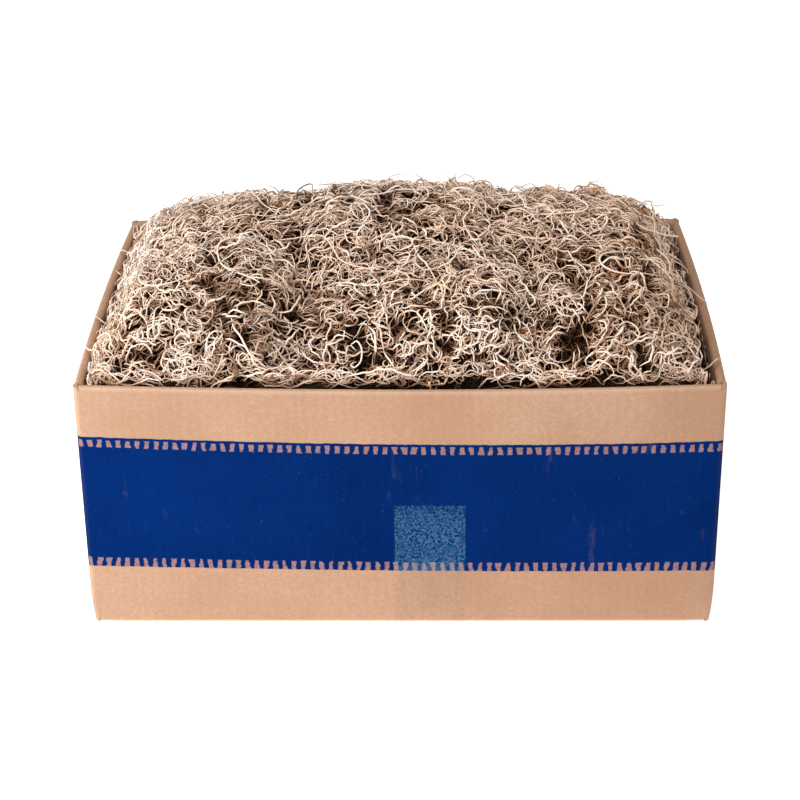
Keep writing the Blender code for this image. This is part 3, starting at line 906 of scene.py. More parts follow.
class Heap:
    """Shape of the heap, read off the wads, and how strands run on it."""

    def __init__(self):
        points, faces = [], []
        for name in WADS:
            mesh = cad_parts[name].data
            first = len(points)
            points += [vertex.co for vertex in mesh.vertices]
            faces += [[first + k for k in face.vertices] for face in mesh.polygons]
        tree = BVHTree.FromPolygons(points, faces)
        across = np.arange(-PLAN_X, PLAN_X + CELL, CELL)
        along = np.arange(-PLAN_Y, PLAN_Y + CELL, CELL)
        top = np.full((len(across), len(along)), FOOT_OF_HEAP)
        down = Vector((0, 0, -1))
        for i, x in enumerate(across):
            for j, y in enumerate(along):
                hit = tree.ray_cast(Vector((x, y, 0.4)), down)[0]
                if hit:
                    top[i, j] = hit.z
        x, y = np.meshgrid(across, along, indexing="ij")
        level = np.maximum(top, blurred(top, FILL_PASSES) - FILL_DROP)
        inward = MOSS_SIDE - np.abs(x)
        edge = np.where(x > 0, SHOULDER_RIGHT, SHOULDER_LEFT)
        level = np.minimum(level, np.maximum(edge + SHOULDER_RISE * inward, FOOT_OF_HEAP))
        for swell_x, swell_y, wide, height in SWELLS:
            far = np.hypot(x - swell_x * MM, y - swell_y * MM) / (wide * MM)
            level = level + height * MM * np.exp(-far * far)
        front = np.clip((MOSS_FRONT + 0.016 - y) / 0.010, 0, 1) * (inward > 0.004)
        level = np.maximum(level, FOOT_OF_HEAP + (FRONT_EDGE - FOOT_OF_HEAP) * front)
        dice = np.random.default_rng(LUMP_SEED)
        for size, height in LUMPS:
            level = level + height * Cloud(dice, size).at(x, y, top)
        self.top = blurred(level, 3)
        slopes = np.gradient(self.top, CELL)
        self.slope_x, self.slope_y = (blurred(slope, 3) for slope in slopes)
        # sunk is how far a place lies below the smoothed heap; strands there are darkened as
        # painted shade.
        open_top = blurred(self.top, 90)
        self.sunk = np.clip((open_top - self.top) / 0.010, 0, 1)
        gully = np.exp(-((inward - 0.001) / GULLY_WIDTH) ** 2)
        gully = gully * np.where(x > 0, GULLY_RIGHT, GULLY_LEFT)
        gully = gully * np.clip(1.15 - (y - MOSS_FRONT) / 0.26, 0.3, 1)
        self.dent = gully * (1 + 0.45 * Cloud(dice, 0.016).at(x, y, top))
        self.dent += CLUMP_DEPTH * np.clip(Cloud(dice, CLUMP).at(x, y, top) - 0.1, 0, 1)
        for hole_x, hole_y, width, depth in HOLLOWS:
            hole_x, hole_y = hole_x * MM, hole_y * MM
            hole_z = self.read(self.top, np.array(hole_x), np.array(hole_y))
            far = (x - hole_x) ** 2 + (y - hole_y) ** 2 + (self.top - hole_z) ** 2
            spread = (HOLLOW_WIDTH * width * MM) ** 2
            self.dent = np.maximum(self.dent, HOLLOW_DEPTH * depth * MM * np.exp(-far / spread))
        self.dent *= np.clip((y - MOSS_FRONT + 0.0075) / 0.006, 0.3, 1)
        drifts = np.array(DRIFTS, float)
        far = np.hypot(x[..., None] - drifts[:, 0] * MM, y[..., None] - drifts[:, 1] * MM)
        pull = 1 / (far + 0.012) ** 3
        pull /= pull.sum(-1, keepdims=True)
        turn = np.radians(drifts[:, 2]) * 2
        self.run_x = (pull * np.cos(turn)).sum(-1)
        self.run_y = (pull * np.sin(turn)).sum(-1)
        self.curl = (pull * drifts[:, 3]).sum(-1)

    def read(self, grid, x, y):
        return read_grid(grid, x, y, CELL)

    def slope(self, x, y):
        gx, gy = self.read(self.slope_x, x, y), self.read(self.slope_y, x, y)
        return gx, gy, np.sqrt(1 + gx * gx + gy * gy)

    def place(self, x, y, lift):
        """Points at a distance from the heap's surface, along its normal."""
        gx, gy, size = self.slope(x, y)
        z = self.read(self.top, x, y)
        return np.stack([x - gx * lift / size, y - gy * lift / size, z + lift / size], -1)

    def ahead(self, x, y, heading):
        """How x and y change with each metre along the surface in a heading."""
        gx, gy, size = self.slope(x, y)
        level = 1 / np.sqrt(1 + gx * gx)
        return (
            np.cos(heading) * level - np.sin(heading) * gx * gy * level / size,
            np.sin(heading) * (1 + gx * gx) * level / size,
        )

    def drift(self, x, y):
        return np.arctan2(self.read(self.run_y, x, y), self.read(self.run_x, x, y)) / 2


def kept_inside(places, margin, carton):
    """Moves points back between the tucked flaps."""
    x, y, z = np.moveaxis(places, -1, 0)
    within = np.clip(x, -HALF_W, HALF_W), np.clip(y, -HALF_D, HALF_D)
    stretch_x, stretch_y = bulge(*within, z, carton)
    x = np.clip(x / stretch_x, -MOSS_SIDE + margin, MOSS_SIDE - margin) * stretch_x
    y = np.clip(y / stretch_y, MOSS_FRONT + margin, MOSS_BACK - margin) * stretch_y
    return np.stack([x, y, z], -1)


def grown(dice, heap, x, y, heading, lift, steps, length, curl, wave, pull, stir, pitch):
    """Walks strands over the heap. Returns their points, how high each lies, and their headings.

    curl is a steady turn and wave a changing one, both in radians a metre. pull turns a strand
    to the drift of its place, and stir moves it up and down through the tangle.
    """
    count = len(x)
    step = length / steps
    phase = dice.uniform(0, 2 * math.pi, (3, count))
    waves = dice.uniform((150, 460, 130), (320, 1020, 300), (count, 3)).T
    home = lift.copy()
    places, lifts, headings = [], [], []
    for k in range(steps + 1):
        sunk = lift - heap.read(heap.dent, x, y)
        places.append(heap.place(x, y, sunk))
        lifts.append(sunk)
        headings.append(heading)
        gone = k * step
        ahead_x, ahead_y = heap.ahead(x, y, heading)
        reach = step * np.cos(pitch)
        x, y = x + ahead_x * reach, y + ahead_y * reach
        lift = lift + step * np.sin(pitch)
        bend = curl + wave * (
            np.sin(waves[0] * gone + phase[0]) + 2.4 * np.sin(waves[1] * gone + phase[1])
        )
        bend = bend + pull * np.sin(2 * (heap.drift(x, y) - heading))
        heading = heading + bend * step
        sway = stir * np.sin(waves[2] * gone + phase[2]) - 9000 * (lift - home) - 60 * pitch
        pitch = np.clip(pitch + sway * step, -0.9, 0.9)
    return np.stack(places, 1), np.stack(lifts, 1), np.stack(headings, 1)


def scattered(dice, heap, count):
    """Random places on the heap, even over its sloping surface."""
    found = np.empty((0, 2))
    while len(found) < count:
        x = dice.uniform(-MOSS_SIDE - 0.002, MOSS_SIDE + 0.002, 2 * count)
        y = dice.uniform(MOSS_FRONT - 0.009, MOSS_BACK + 0.007, 2 * count)
        worth = np.minimum(heap.slope(x, y)[2], 3.6) * (1.0 - 1.85 * (y - MOSS_FRONT))
        keep = dice.uniform(0, 3.6, len(x)) < worth
        found = np.concatenate([found, np.stack([x, y], -1)[keep]])
    return found[:count].T


def strand_set(places, lifts, radius, taper, tone, warm):
    """Packs strands with what their sweep and finish read at each point."""
    count, points = places.shape[:2]
    along = np.linspace(0, 1, points)[None, :]
    start, end = taper
    ends = np.minimum(1, start + (1 - start) * along / 0.22)
    ends = np.minimum(ends, end + (1 - end) * (1 - along) / 0.45)
    return {
        "places": places,
        "thick": radius[:, None] * ends,
        "tone": np.broadcast_to(tone[:, None], (count, points)),
        "warm": np.broadcast_to(warm[:, None], (count, points)),
        # depth sets the painted shade a point takes: more the deeper it lies under the heap's
        # surface.
        "depth": np.clip((SHADE_START - lifts) / SHADE_DEPTH, 0, 1) ** 0.85,
    }


class Tangle:
    """Grows the strands of the heap, kind by kind."""

    def __init__(self, dice, heap, carton):
        self.dice, self.heap, self.carton = dice, heap, carton
        sizes = (0.024, 0.034, 0.011)
        self.headings, self.tones, self.fine = (Cloud(dice, size) for size in sizes)
        self.sets = []

    def looks(self, x, y, light):
        count = len(x)
        z = self.heap.read(self.heap.top, x, y)
        broad, fine = self.tones.at(x, y, z), self.fine.at(x, y, z)
        tone = 0.72 + light + 0.13 * broad + 0.13 * fine + self.dice.normal(0, 0.32, count)
        # Painted shade: strands in sunk places get a lower tone.
        tone = tone - 0.22 * self.heap.read(self.heap.sunk, x, y)
        tone = tone + np.where(self.dice.random(count) < 0.24, -0.48, 0.12)
        for dim_x, dim_y, wide, less in DIM:
            far = np.hypot(x - dim_x * MM, y - dim_y * MM) / (wide * MM)
            tone = tone - less * np.exp(-far * far)
        warm = 0.36 + 0.30 * self.tones.at(-x, y, z) + 0.9 * x + self.dice.normal(0, 0.20, count)
        warm = np.clip(warm, 0, 0.88)
        warm[self.dice.random(count) < 0.0025] = 1.0
        return np.clip(tone, 0.02, 1), warm

    def bearings(self, x, y, spread):
        z = self.heap.read(self.heap.top, x, y)
        curl = self.heap.read(self.heap.curl, x, y)
        turn = self.headings.at(x, y, z) * (0.4 + 1.5 * curl)
        turn = turn + self.dice.normal(0, spread, len(x)) * (0.35 + curl)
        flip = np.where(self.dice.random(len(x)) < 0.5, 0, math.pi)
        return self.heap.drift(x, y) + turn + flip, curl

    def depths(self, count, deepest, highest, lean):
        return highest - (highest - deepest) * self.dice.random(count) ** lean

    def add(self, places, lifts, radius, taper, tone, warm):
        margin = self.dice.uniform(0.0006, 0.0030, len(places))[:, None]
        places = kept_inside(places, margin, self.carton)
        # Painted shade is lessened on strands near the heap's open front face.
        face = kept_inside(places * (1, 0, 1) - (0, 1, 0), 0.0, self.carton)[..., 1]
        open_front = 1 - np.clip((places[..., 1] - face) / FRONT_LIT, 0, 1)
        lifts = lifts * (1 - 0.75 * open_front)
        radius = radius * (1 + 0.22 * np.clip((places[:, 0, 1] + 0.08) / 0.2, 0, 1))
        self.sets.append(strand_set(places, lifts, radius, taper, tone, warm))

    def stems(self, count, deepest, highest, thick, light, wave, steps=26, lean=1.25):
        """Long stems that wander along the drift."""
        dice = self.dice
        x, y = scattered(dice, self.heap, count)
        heading, curl = self.bearings(x, y, 0.5)
        lift = self.depths(count, deepest, highest, lean)
        length = dice.uniform(0.034, 0.080, count) * (1.15 - 0.4 * curl)
        steady = dice.normal(0, 24, count) * (0.4 + curl)
        waves = dice.uniform(*wave, count) * (0.45 + curl)
        places, lifts, headings = grown(
            dice, self.heap, x, y, heading, lift, steps, length, curl=steady, wave=waves,
            pull=40 * (1.2 - curl), stir=75, pitch=dice.normal(0, 0.12, count)
        )
        tone, warm = self.looks(x, y, light)
        self.add(places, lifts, dice.uniform(*thick, count), (0.65, 0.45), tone, warm)
        return places, lifts, headings, tone

    def leaves(self, count, stems):
        """Short curved leaves: half fork from stems and half lie loose."""
        dice = self.dice
        places, lifts, headings, tones = stems
        nodes = dice.integers(0, len(places), count // 2)
        spot = dice.integers(2, places.shape[1] - 2, len(nodes))
        root = places[nodes, spot]
        fork = dice.uniform(0.35, 1.1, len(nodes)) * dice.choice((-1, 1), len(nodes))
        loose_x, loose_y = scattered(dice, self.heap, count - len(nodes))
        x = np.concatenate([root[:, 0], loose_x])
        y = np.concatenate([root[:, 1], loose_y])
        loose_heading, _ = self.bearings(loose_x, loose_y, 1.5)
        heading = np.concatenate([headings[nodes, spot] + fork, loose_heading])
        loose_lift = self.depths(len(loose_x), -0.0050, 0.0006, 1.2)
        lift = np.concatenate([lifts[nodes, spot], loose_lift])
        length = dice.uniform(0.010, 0.028, count)
        turn = dice.uniform(15, 150, count) * dice.choice((-1, 1), count)
        tone, warm = self.looks(x, y, 0.02)
        tone[: len(nodes)] = 0.6 * tones[nodes] + 0.4 * tone[: len(nodes)]
        places, lifts, _ = grown(
            dice, self.heap, x, y, heading, lift, steps=7, length=length, curl=turn,
            wave=dice.uniform(10, 100, count), pull=0.0, stir=80,
            pitch=dice.normal(0.0, 0.18, count)
        )
        self.add(places, lifts, dice.uniform(0.00040, 0.00068, count), (0.8, 0.25), tone, warm)

    def curls(self, count, deepest, highest, tightest, widest):
        """Tight curls and rings."""
        dice = self.dice
        x, y = scattered(dice, self.heap, 2 * count)
        chance = self.heap.read(self.heap.curl, x, y)
        chosen = np.argsort(dice.random(2 * count) / (chance - 0.15))[:count]
        x, y, chance = x[chosen], y[chosen], chance[chosen]
        heading = dice.uniform(0, 2 * math.pi, count)
        lift = self.depths(count, deepest, highest, 1.2)
        turn = dice.choice((-1, 1), count) * (0.4 + 0.6 * chance)
        turn = turn / dice.uniform(tightest, widest, count)
        length = dice.uniform(0.022, 0.052, count)
        places, lifts, _ = grown(
            dice, self.heap, x, y, heading, lift, steps=13, length=length, curl=turn,
            wave=dice.uniform(10, 80, count), pull=0.0, stir=80,
            pitch=dice.normal(0.0, 0.16, count)
        )
        tone, warm = self.looks(x, y, 0.05)
        self.add(places, lifts, dice.uniform(0.00044, 0.00076, count), (0.7, 0.4), tone, warm)

    def wisps(self, count):
        """Loose ends that stand off the crown."""
        dice = self.dice
        x = dice.uniform(-0.185, 0.185, count)
        y = dice.uniform(-0.06, 0.12, count)
        heading, _ = self.bearings(x, y, 1.2)
        places, lifts, _ = grown(
            dice, self.heap, x, y, heading, lift=np.full(count, 0.0010), steps=9,
            length=dice.uniform(0.010, 0.024, count), curl=dice.normal(0, 30, count),
            wave=dice.uniform(10, 80, count), pull=0.0, stir=60,
            pitch=dice.uniform(0.15, 0.6, count)
        )
        tone, warm = self.looks(x, y, -0.4)
        self.add(places, lifts, dice.uniform(0.00026, 0.00045, count), (0.8, 0.3), tone, warm)


def strand_tree():
    """Sweeps a round section along each strand, as thick as the strand is at each point."""
    tree = bpy.data.node_groups.new("strand_sweep", "GeometryNodeTree")
    face = tree.interface
    face.new_socket("Strands", in_out="INPUT", socket_type="NodeSocketGeometry")
    face.new_socket("Sides", in_out="INPUT", socket_type="NodeSocketInt").default_value = 3
    face.new_socket("Thickness", in_out="INPUT", socket_type="NodeSocketFloat").default_value = 1.0
    face.new_socket("Finish", in_out="INPUT", socket_type="NodeSocketMaterial")
    face.new_socket("Swept", in_out="OUTPUT", socket_type="NodeSocketGeometry")
    made = {}
    for key, kind in (
        ("given", "NodeGroupInput"), ("curve", "GeometryNodeMeshToCurve"),
        ("radius", "GeometryNodeInputNamedAttribute"), ("times", "ShaderNodeMath"),
        ("ring", "GeometryNodeCurvePrimitiveCircle"), ("sweep", "GeometryNodeCurveToMesh"),
        ("smooth", "GeometryNodeSetShadeSmooth"),
        ("real", "GeometryNodeRealizeInstances"), ("finish", "GeometryNodeSetMaterial"),
        ("swept", "NodeGroupOutput"),
    ):
        made[key] = tree.nodes.new(kind)
        made[key].location = (200 * len(made), 0)
    made["radius"].data_type = "FLOAT"
    made["radius"].inputs["Name"].default_value = "thick"
    made["times"].operation = "MULTIPLY"
    made["ring"].mode = "RADIUS"
    made["ring"].inputs["Radius"].default_value = 1.0
    made["sweep"].inputs["Fill Caps"].default_value = True
    for start, output, end, socket in (
        ("given", "Strands", "curve", 0), ("radius", "Attribute", "times", 0),
        ("given", "Thickness", "times", 1), ("times", 0, "sweep", "Scale"),
        ("curve", 0, "sweep", "Curve"), ("given", "Sides", "ring", "Resolution"),
        ("ring", 0, "sweep", "Profile Curve"), ("sweep", 0, "smooth", 0), ("smooth", 0, "real", 0),
        ("real", 0, "finish", 0), ("given", "Finish", "finish", "Material"),
        ("finish", 0, "swept", 0),
    ):
        tree.links.new(made[start].outputs[output], made[end].inputs[socket])
    return tree, {item.name: item.identifier for item in face.items_tree}


def swept(name, sets, material, sides):
    """Sweeps sets of strands into one plain mesh with a bake map that gives each its own cell."""
    points, edges, values, first, strands = [], [], [], 0, 0
    for part in sets:
        count, length = part["places"].shape[:2]
        index = np.arange(first, first + count * length).reshape(count, length)
        edges.append(np.stack([index[:, :-1], index[:, 1:]], -1).reshape(-1, 2))
        points.append(part["places"].reshape(-1, 3))
        number = np.broadcast_to(np.arange(strands, strands + count)[:, None], (count, length))
        along = np.broadcast_to(np.linspace(0, 1, length), (count, length))
        rows = (part["thick"], part["tone"], part["depth"], part["warm"], number, along)
        values.append(np.stack([row.reshape(-1) for row in rows], -1))
        first += count * length
        strands += count
    points, edges = np.concatenate(points), np.concatenate(edges)
    values = np.concatenate(values)
    guide = bpy.data.meshes.new(name + "_paths")
    guide.vertices.add(len(points))
    guide.vertices.foreach_set("co", points.astype(np.float32).ravel())
    guide.edges.add(len(edges))
    guide.edges.foreach_set("vertices", edges.astype(np.int32).ravel())
    guide.attributes.new("thick", "FLOAT", "POINT").data.foreach_set("value", values[:, 0])
    cells = np.pad(values[:, 4:6], ((0, 0), (0, 1)))
    for key, columns in (("moss", values[:, 1:4]), ("cell", cells)):
        made = guide.attributes.new(key, "FLOAT_VECTOR", "POINT")
        made.data.foreach_set("vector", np.ascontiguousarray(columns).ravel())
    maker = bpy.data.objects.new(name + "_maker", guide)
    bpy.context.scene.collection.objects.link(maker)
    modifier = maker.modifiers.new("sweep", "NODES")
    tree, sockets = strand_tree()
    modifier.node_group = tree
    modifier[sockets["Sides"]] = sides
    modifier[sockets["Thickness"]] = 1.0
    modifier[sockets["Finish"]] = material
    graph = bpy.context.evaluated_depsgraph_get()
    mesh = bpy.data.meshes.new_from_object(
        maker.evaluated_get(graph), preserve_all_data_layers=True, depsgraph=graph
    )
    mesh.name = name
    bpy.data.objects.remove(maker)
    bpy.data.meshes.remove(guide)
    bpy.data.node_groups.remove(tree)
    add_strand_map(mesh, strands, sides)
    return mesh


def add_strand_map(mesh, strands, sides):
    """Unrolls each strand into its own cell of the bake map."""
    corners = np.empty(len(mesh.loops), np.int32)
    mesh.loops.foreach_get("vertex_index", corners)
    cell = np.empty(len(mesh.vertices) * 3, np.float32)
    mesh.attributes["cell"].data.foreach_get("vector", cell)
    cell = cell.reshape(-1, 3)[corners]
    start = np.empty(len(mesh.polygons), np.int32)
    mesh.polygons.foreach_get("loop_start", start)
    total = np.diff(np.append(start, len(corners)))
    face = np.repeat(np.arange(len(start)), total)
    tube = (cell[:, 1].max() > 0) & (np.maximum.reduceat(cell[:, 1], start)
                                    > np.minimum.reduceat(cell[:, 1], start))[face]
    around = (corners % sides).astype(float)
    ends = np.minimum.reduceat(around, start) == 0
    wraps = (ends & (np.maximum.reduceat(around, start) == sides - 1))[face]
    around[tube & wraps & (around == 0)] = sides
    columns = max(1, int(math.sqrt(strands / 5.0)))
    rows = math.ceil(strands / columns)
    number = np.rint(cell[:, 0])
    u = 0.06 + 0.84 * cell[:, 1] + np.where(tube, 0, 0.03 * (around % 2))
    v = 0.10 + 0.80 * around / sides
    u = (number % columns + u) / columns
    v = (number // columns + v) / rows
    made = mesh.uv_layers.new(name="OFBake")
    made.uv.foreach_set("vector", np.stack([u, v], -1).astype(np.float32).ravel())
    mesh.attributes.remove(mesh.attributes["cell"])


def middles(name):
    """Middle line of a single strand's node: the centres of its rings, in order."""
    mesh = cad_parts[name].data
    bm = bmesh.new()
    bm.from_mesh(mesh)
    bmesh.ops.remove_doubles(bm, verts=bm.verts, dist=1e-6)
    bm.verts.ensure_lookup_table()
    group, rings = {}, []
    for vert in bm.verts:
        if vert.index in group:
            continue
        group[vert.index] = len(rings)
        ring, queue = [vert], [vert]
        while queue:
            here = queue.pop()
            for edge in here.link_edges:
                other = edge.other_vert(here)
                if other.index not in group and (other.co - vert.co).length < 0.0020:
                    group[other.index] = len(rings)
                    ring.append(other)
                    queue.append(other)
        rings.append(ring)
    near = [set() for _ in rings]
    for edge in bm.edges:
        a, b = (group[v.index] for v in edge.verts)
        if a != b:
            near[a].add(b)
            near[b].add(a)
    centres = [np.mean([tuple(v.co) for v in ring], 0) for ring in rings]
    bm.free()
    order = [next(k for k, linked in enumerate(near) if len(linked) == 1)]
    while len(order) < len(rings):
        onward = [k for k in near[order[-1]] if k not in order]
        if not onward:
            break
        order.append(onward[0])
    return np.array([centres[k] for k in order])


def resampled(line, count):
    """A line of points made smooth and evenly spaced."""
    ends = np.concatenate([2 * line[:1] - line[1:2], line, 2 * line[-1:] - line[-2:-1]])
    fine = []
    for k in range(len(line) - 1):
        a, b, c, d = ends[k:k + 4]
        t = np.linspace(0, 1, 8, endpoint=False)[:, None]
        fine.append(0.5 * (2 * b + (c - a) * t + (2 * a - 5 * b + 4 * c - d) * t ** 2
                           + (3 * b - a - 3 * c + d) * t ** 3))
    fine = np.concatenate(fine + [line[-1:]])
    gone = np.concatenate([[0], np.cumsum(np.linalg.norm(np.diff(fine, axis=0), axis=1))])
    even = np.linspace(0, gone[-1], count)
    return np.stack([np.interp(even, gone, fine[:, k]) for k in range(line.shape[1])], -1)


# Strands that stand out on the heap: radius in millimetres, then x and y of points along each
STANDOUT = [
    (0.80, (-110.2, -132.9), (-108.0, -138.5), (-103.2, -143.1), (-99.3, -146.8), (-94.2, -147.9),
     (-88.5, -147.0), (-81.5, -143.9)),
    (0.95, (-66.6, -123.0), (-75.4, -131.4), (-82.2, -138.9), (-86.6, -143.0)),
    (0.65, (-126.4, -147.4), (-126.3, -144.5), (-124.4, -141.3), (-120.5, -139.4),
     (-113.9, -139.7)),
    (0.85, (-86.6, -147.4), (-91.8, -151.3), (-99.1, -153.8)),
    (0.65, (-154.8, -146.9), (-149.6, -148.1), (-147.2, -149.3)),
    (0.80, (-80.8, -120.3), (-73.9, -116.4), (-68.6, -105.9), (-66.1, -92.3)),
    (0.60, (-156.7, -45.3), (-138.7, -73.2), (-127.7, -82.0), (-123.0, -89.2)),
    (0.60, (-124.1, -92.6), (-117.0, -89.1), (-110.7, -83.2), (-102.8, -80.6)),
    (0.80, (-52.9, -93.5), (-45.3, -94.8), (-35.7, -99.3), (-22.8, -106.7), (-10.1, -110.5),
     (0.5, -109.8), (13.7, -107.7), (25.0, -107.5)),
    (0.80, (25.0, -107.5), (19.7, -96.7), (14.3, -85.4), (8.1, -68.5), (0.0, -67.5),
     (-10.8, -67.9), (-23.7, -67.8), (-32.6, -66.8)),
    (0.75, (25.0, -107.5), (19.0, -116.1), (10.5, -124.1), (2.7, -126.9), (-7.8, -129.6),
     (-13.7, -132.1)),
    (0.80, (45.6, -50.4), (47.7, -52.9), (53.1, -55.4), (56.7, -78.3), (61.7, -94.6),
     (64.9, -103.4), (76.1, -107.4)),
    (0.65, (31.4, -18.1), (38.4, -22.6), (43.9, -27.2)),
    (0.75, (48.6, -121.7), (55.9, -118.5), (65.2, -117.6), (74.6, -113.6)),
    (0.75, (52.4, -137.7), (57.6, -135.0), (62.8, -136.1), (66.2, -134.4)),
    (0.70, (-31.4, -142.5), (-27.4, -141.9), (-24.1, -144.1), (-24.1, -147.0), (-25.4, -149.8),
     (-28.1, -150.9), (-30.7, -150.3), (-30.7, -149.3), (-28.1, -149.0)),
    (0.65, (40.5, -148.8), (41.2, -147.0), (45.1, -146.4), (48.4, -147.2), (47.7, -148.9)),
    (0.65, (55.5, -145.2), (58.8, -141.5), (64.1, -139.4), (62.8, -142.2), (58.2, -145.1)),
    (0.70, (36.1, -128.6), (40.6, -134.0), (40.6, -139.1), (37.3, -143.2)),
    (0.80, (-33.4, -153.5), (-20.3, -153.8), (-13.7, -153.0), (-4.6, -153.4), (4.6, -155.9),
     (12.4, -155.5)),
    (0.90, (-55.9, -150.0), (-51.1, -149.5), (-39.9, -150.9), (-31.4, -152.8), (-28.2, -154.7)),
    (0.80, (13.8, -130.4), (12.5, -133.6), (17.1, -138.2), (19.0, -141.0)),
    (0.70, (-9.7, -147.0), (-5.8, -150.4), (-1.9, -153.3)),
    (0.70, (-15.6, -136.9), (-11.7, -139.9), (-11.0, -143.5), (-9.7, -147.0)),
    (0.70, (117.1, -81.7), (122.1, -87.8), (126.6, -92.1), (129.4, -90.7), (126.2, -86.4)),
    (0.70, (127.6, -98.2), (131.9, -105.2), (133.3, -114.7)),
    (0.70, (135.7, -97.3), (141.0, -107.5), (141.7, -116.3)),
    (0.85, (122.1, -147.7), (121.5, -146.2), (125.4, -145.1), (131.3, -145.0), (137.1, -145.8),
     (143.1, -145.3), (149.7, -145.2), (154.3, -147.6), (157.7, -149.1), (159.7, -151.9)),
    (0.75, (152.5, -136.6), (155.8, -137.6), (159.9, -136.1), (166.1, -132.9)),
    (0.85, (147.1, -142.2), (154.4, -139.8), (161.9, -136.6), (171.4, -133.3)),
    (0.85, (181.8, -128.1), (185.7, -130.1), (191.2, -131.3), (195.2, -133.0), (198.7, -134.4),
     (200.9, -135.6)),
    (0.70, (167.0, -140.6), (175.7, -139.4), (183.2, -136.8)),
    (0.75, (171.8, -139.5), (170.9, -144.1), (171.6, -147.0)),
    (0.80, (151.7, -142.6), (152.4, -145.4), (151.9, -148.0)),
    (0.70, (98.3, -147.9), (103.4, -148.9), (112.4, -150.4), (116.3, -151.6), (113.1, -152.4),
     (106.6, -151.6)),
    (0.65, (89.4, -61.2), (95.3, -63.6), (99.0, -68.9)),
    (0.65, (89.4, -61.5), (98.0, -90.2), (104.4, -96.2)),
    (0.75, (124.1, -149.8), (129.3, -148.4), (135.2, -148.6), (139.2, -149.8), (141.2, -151.8)),
    (0.65, (93.3, -110.6), (100.2, -118.0), (107.2, -124.4), (109.6, -129.5)),
    (0.65, (102.7, -120.7), (105.8, -125.6), (109.7, -127.6), (114.8, -128.3)),
    (0.60, (-135.1, -40.4), (-123.8, -33.0), (-112.0, -25.2), (-96.8, -22.2), (-84.7, -15.9)),
    (0.60, (-104.0, -39.4), (-90.7, -30.7), (-77.1, -25.4), (-63.8, -14.3)),
    (0.70, (-113.8, -143.1), (-103.8, -145.8), (-94.2, -147.7)),
    (0.75, (-65.7, -132.2), (-57.2, -141.8), (-50.5, -146.4), (-45.2, -146.8)),
    (0.75, (164.6, -136.1), (165.7, -141.0), (162.3, -144.7), (157.7, -146.6)),
]

# Strands over the rim or off the crown: radius, then x, y and z of points, in millimetres
ASTRAY = [
    (0.70, (-214.5, -96.0, 185.5), (-211.0, -103.0, 186.5), (-203.6, -108.0, 187.5),
     (-195.5, -120.0, 190.0)),
    (0.60, (-218.0, -38.0, 185.0), (-212.4, -50.0, 186.5), (-206.0, -62.0, 188.0),
     (-200.0, -70.0, 190.0)),
    (0.55, (-212.1, 38.0, 185.5), (-207.0, 27.0, 187.0), (-201.0, 12.0, 189.0)),
    (0.55, (-219.0, 88.0, 185.0), (-213.0, 76.0, 187.0), (-206.0, 64.0, 190.0)),
    (0.70, (213.5, -117.0, 185.5), (210.5, -121.5, 186.3), (205.5, -128.5, 185.0),
     (198.5, -136.0, 184.0)),
    (0.60, (212.5, 143.0, 185.5), (205.0, 131.0, 188.0), (196.3, 112.0, 193.0)),
    (0.55, (216.5, -24.0, 185.5), (211.5, -20.0, 188.0), (205.0, -10.0, 191.0),
     (196.0, -2.0, 196.0)),
    (0.60, (30.9, 20.0, 266.5), (36.6, 19.0, 262.0), (43.1, 17.0, 256.2), (50.0, 14.0, 249.0)),
    (0.50, (133.6, 20.0, 261.5), (139.4, 20.0, 256.5), (145.0, 18.0, 249.0), (150.0, 14.0, 243.0)),
    (0.50, (140.0, 22.0, 260.5), (145.9, 21.0, 254.5), (150.4, 19.0, 247.5), (156.0, 15.0, 240.0)),
    (0.45, (-12.0, 16.0, 262.0), (-6.8, 20.0, 265.5), (-1.1, 20.0, 266.5), (6.0, 19.0, 263.7)),
    (0.45, (-125.0, 20.0, 245.0), (-121.9, 20.0, 250.5), (-117.3, 20.0, 255.6),
     (-112.2, 18.0, 255.8)),
    (0.45, (-172.5, 20.0, 234.0), (-172.1, 20.0, 240.0), (-170.4, 20.0, 244.4),
     (-167.5, 19.0, 246.4)),
]


class MOSSBOX_OT_packed_moss(bpy.types.Operator):
    """Fill the carton with the dense mass that the tangle lies on"""
    bl_idname = "mossbox.packed_moss"
    bl_label = "Packed moss"

    def execute(self, context):
        moss = context.scene.mossbox_moss
        carton = context.scene.mossbox_carton
        dice = np.random.default_rng(moss.seed)
        heap = Heap()
        coarse, fine = Cloud(dice, 0.010), Cloud(dice, 0.0042)
        columns, rows = 138, 92
        across = np.linspace(-MOSS_SIDE + 0.001, MOSS_SIDE - 0.001, columns)
        along = np.linspace(MOSS_FRONT - 0.007, MOSS_BACK + 0.005, rows)
        x, y = np.meshgrid(across, along, indexing="ij")
        z = heap.read(heap.top, x, y)
        lift = -CORE_DEPTH + 0.0022 * coarse.at(x, y, z) + 0.0018 * fine.at(x, y, z)
        lift = lift - heap.read(heap.dent, x, y)
        top = kept_inside(heap.place(x, y, lift), 0.0008, carton)
        foot = top * (0.985, 0.985, 0.0) + (0.0, 0.0, 0.0072)
        shape = slab(top, foot)
        matted = shared("packed_moss", packed_moss)
        mesh = closed_mesh("packed_moss_mass", shape["points"], shape, [matted])
        seated("packed_moss_mass", mesh, ["moss_bed"])
        return {"FINISHED"}


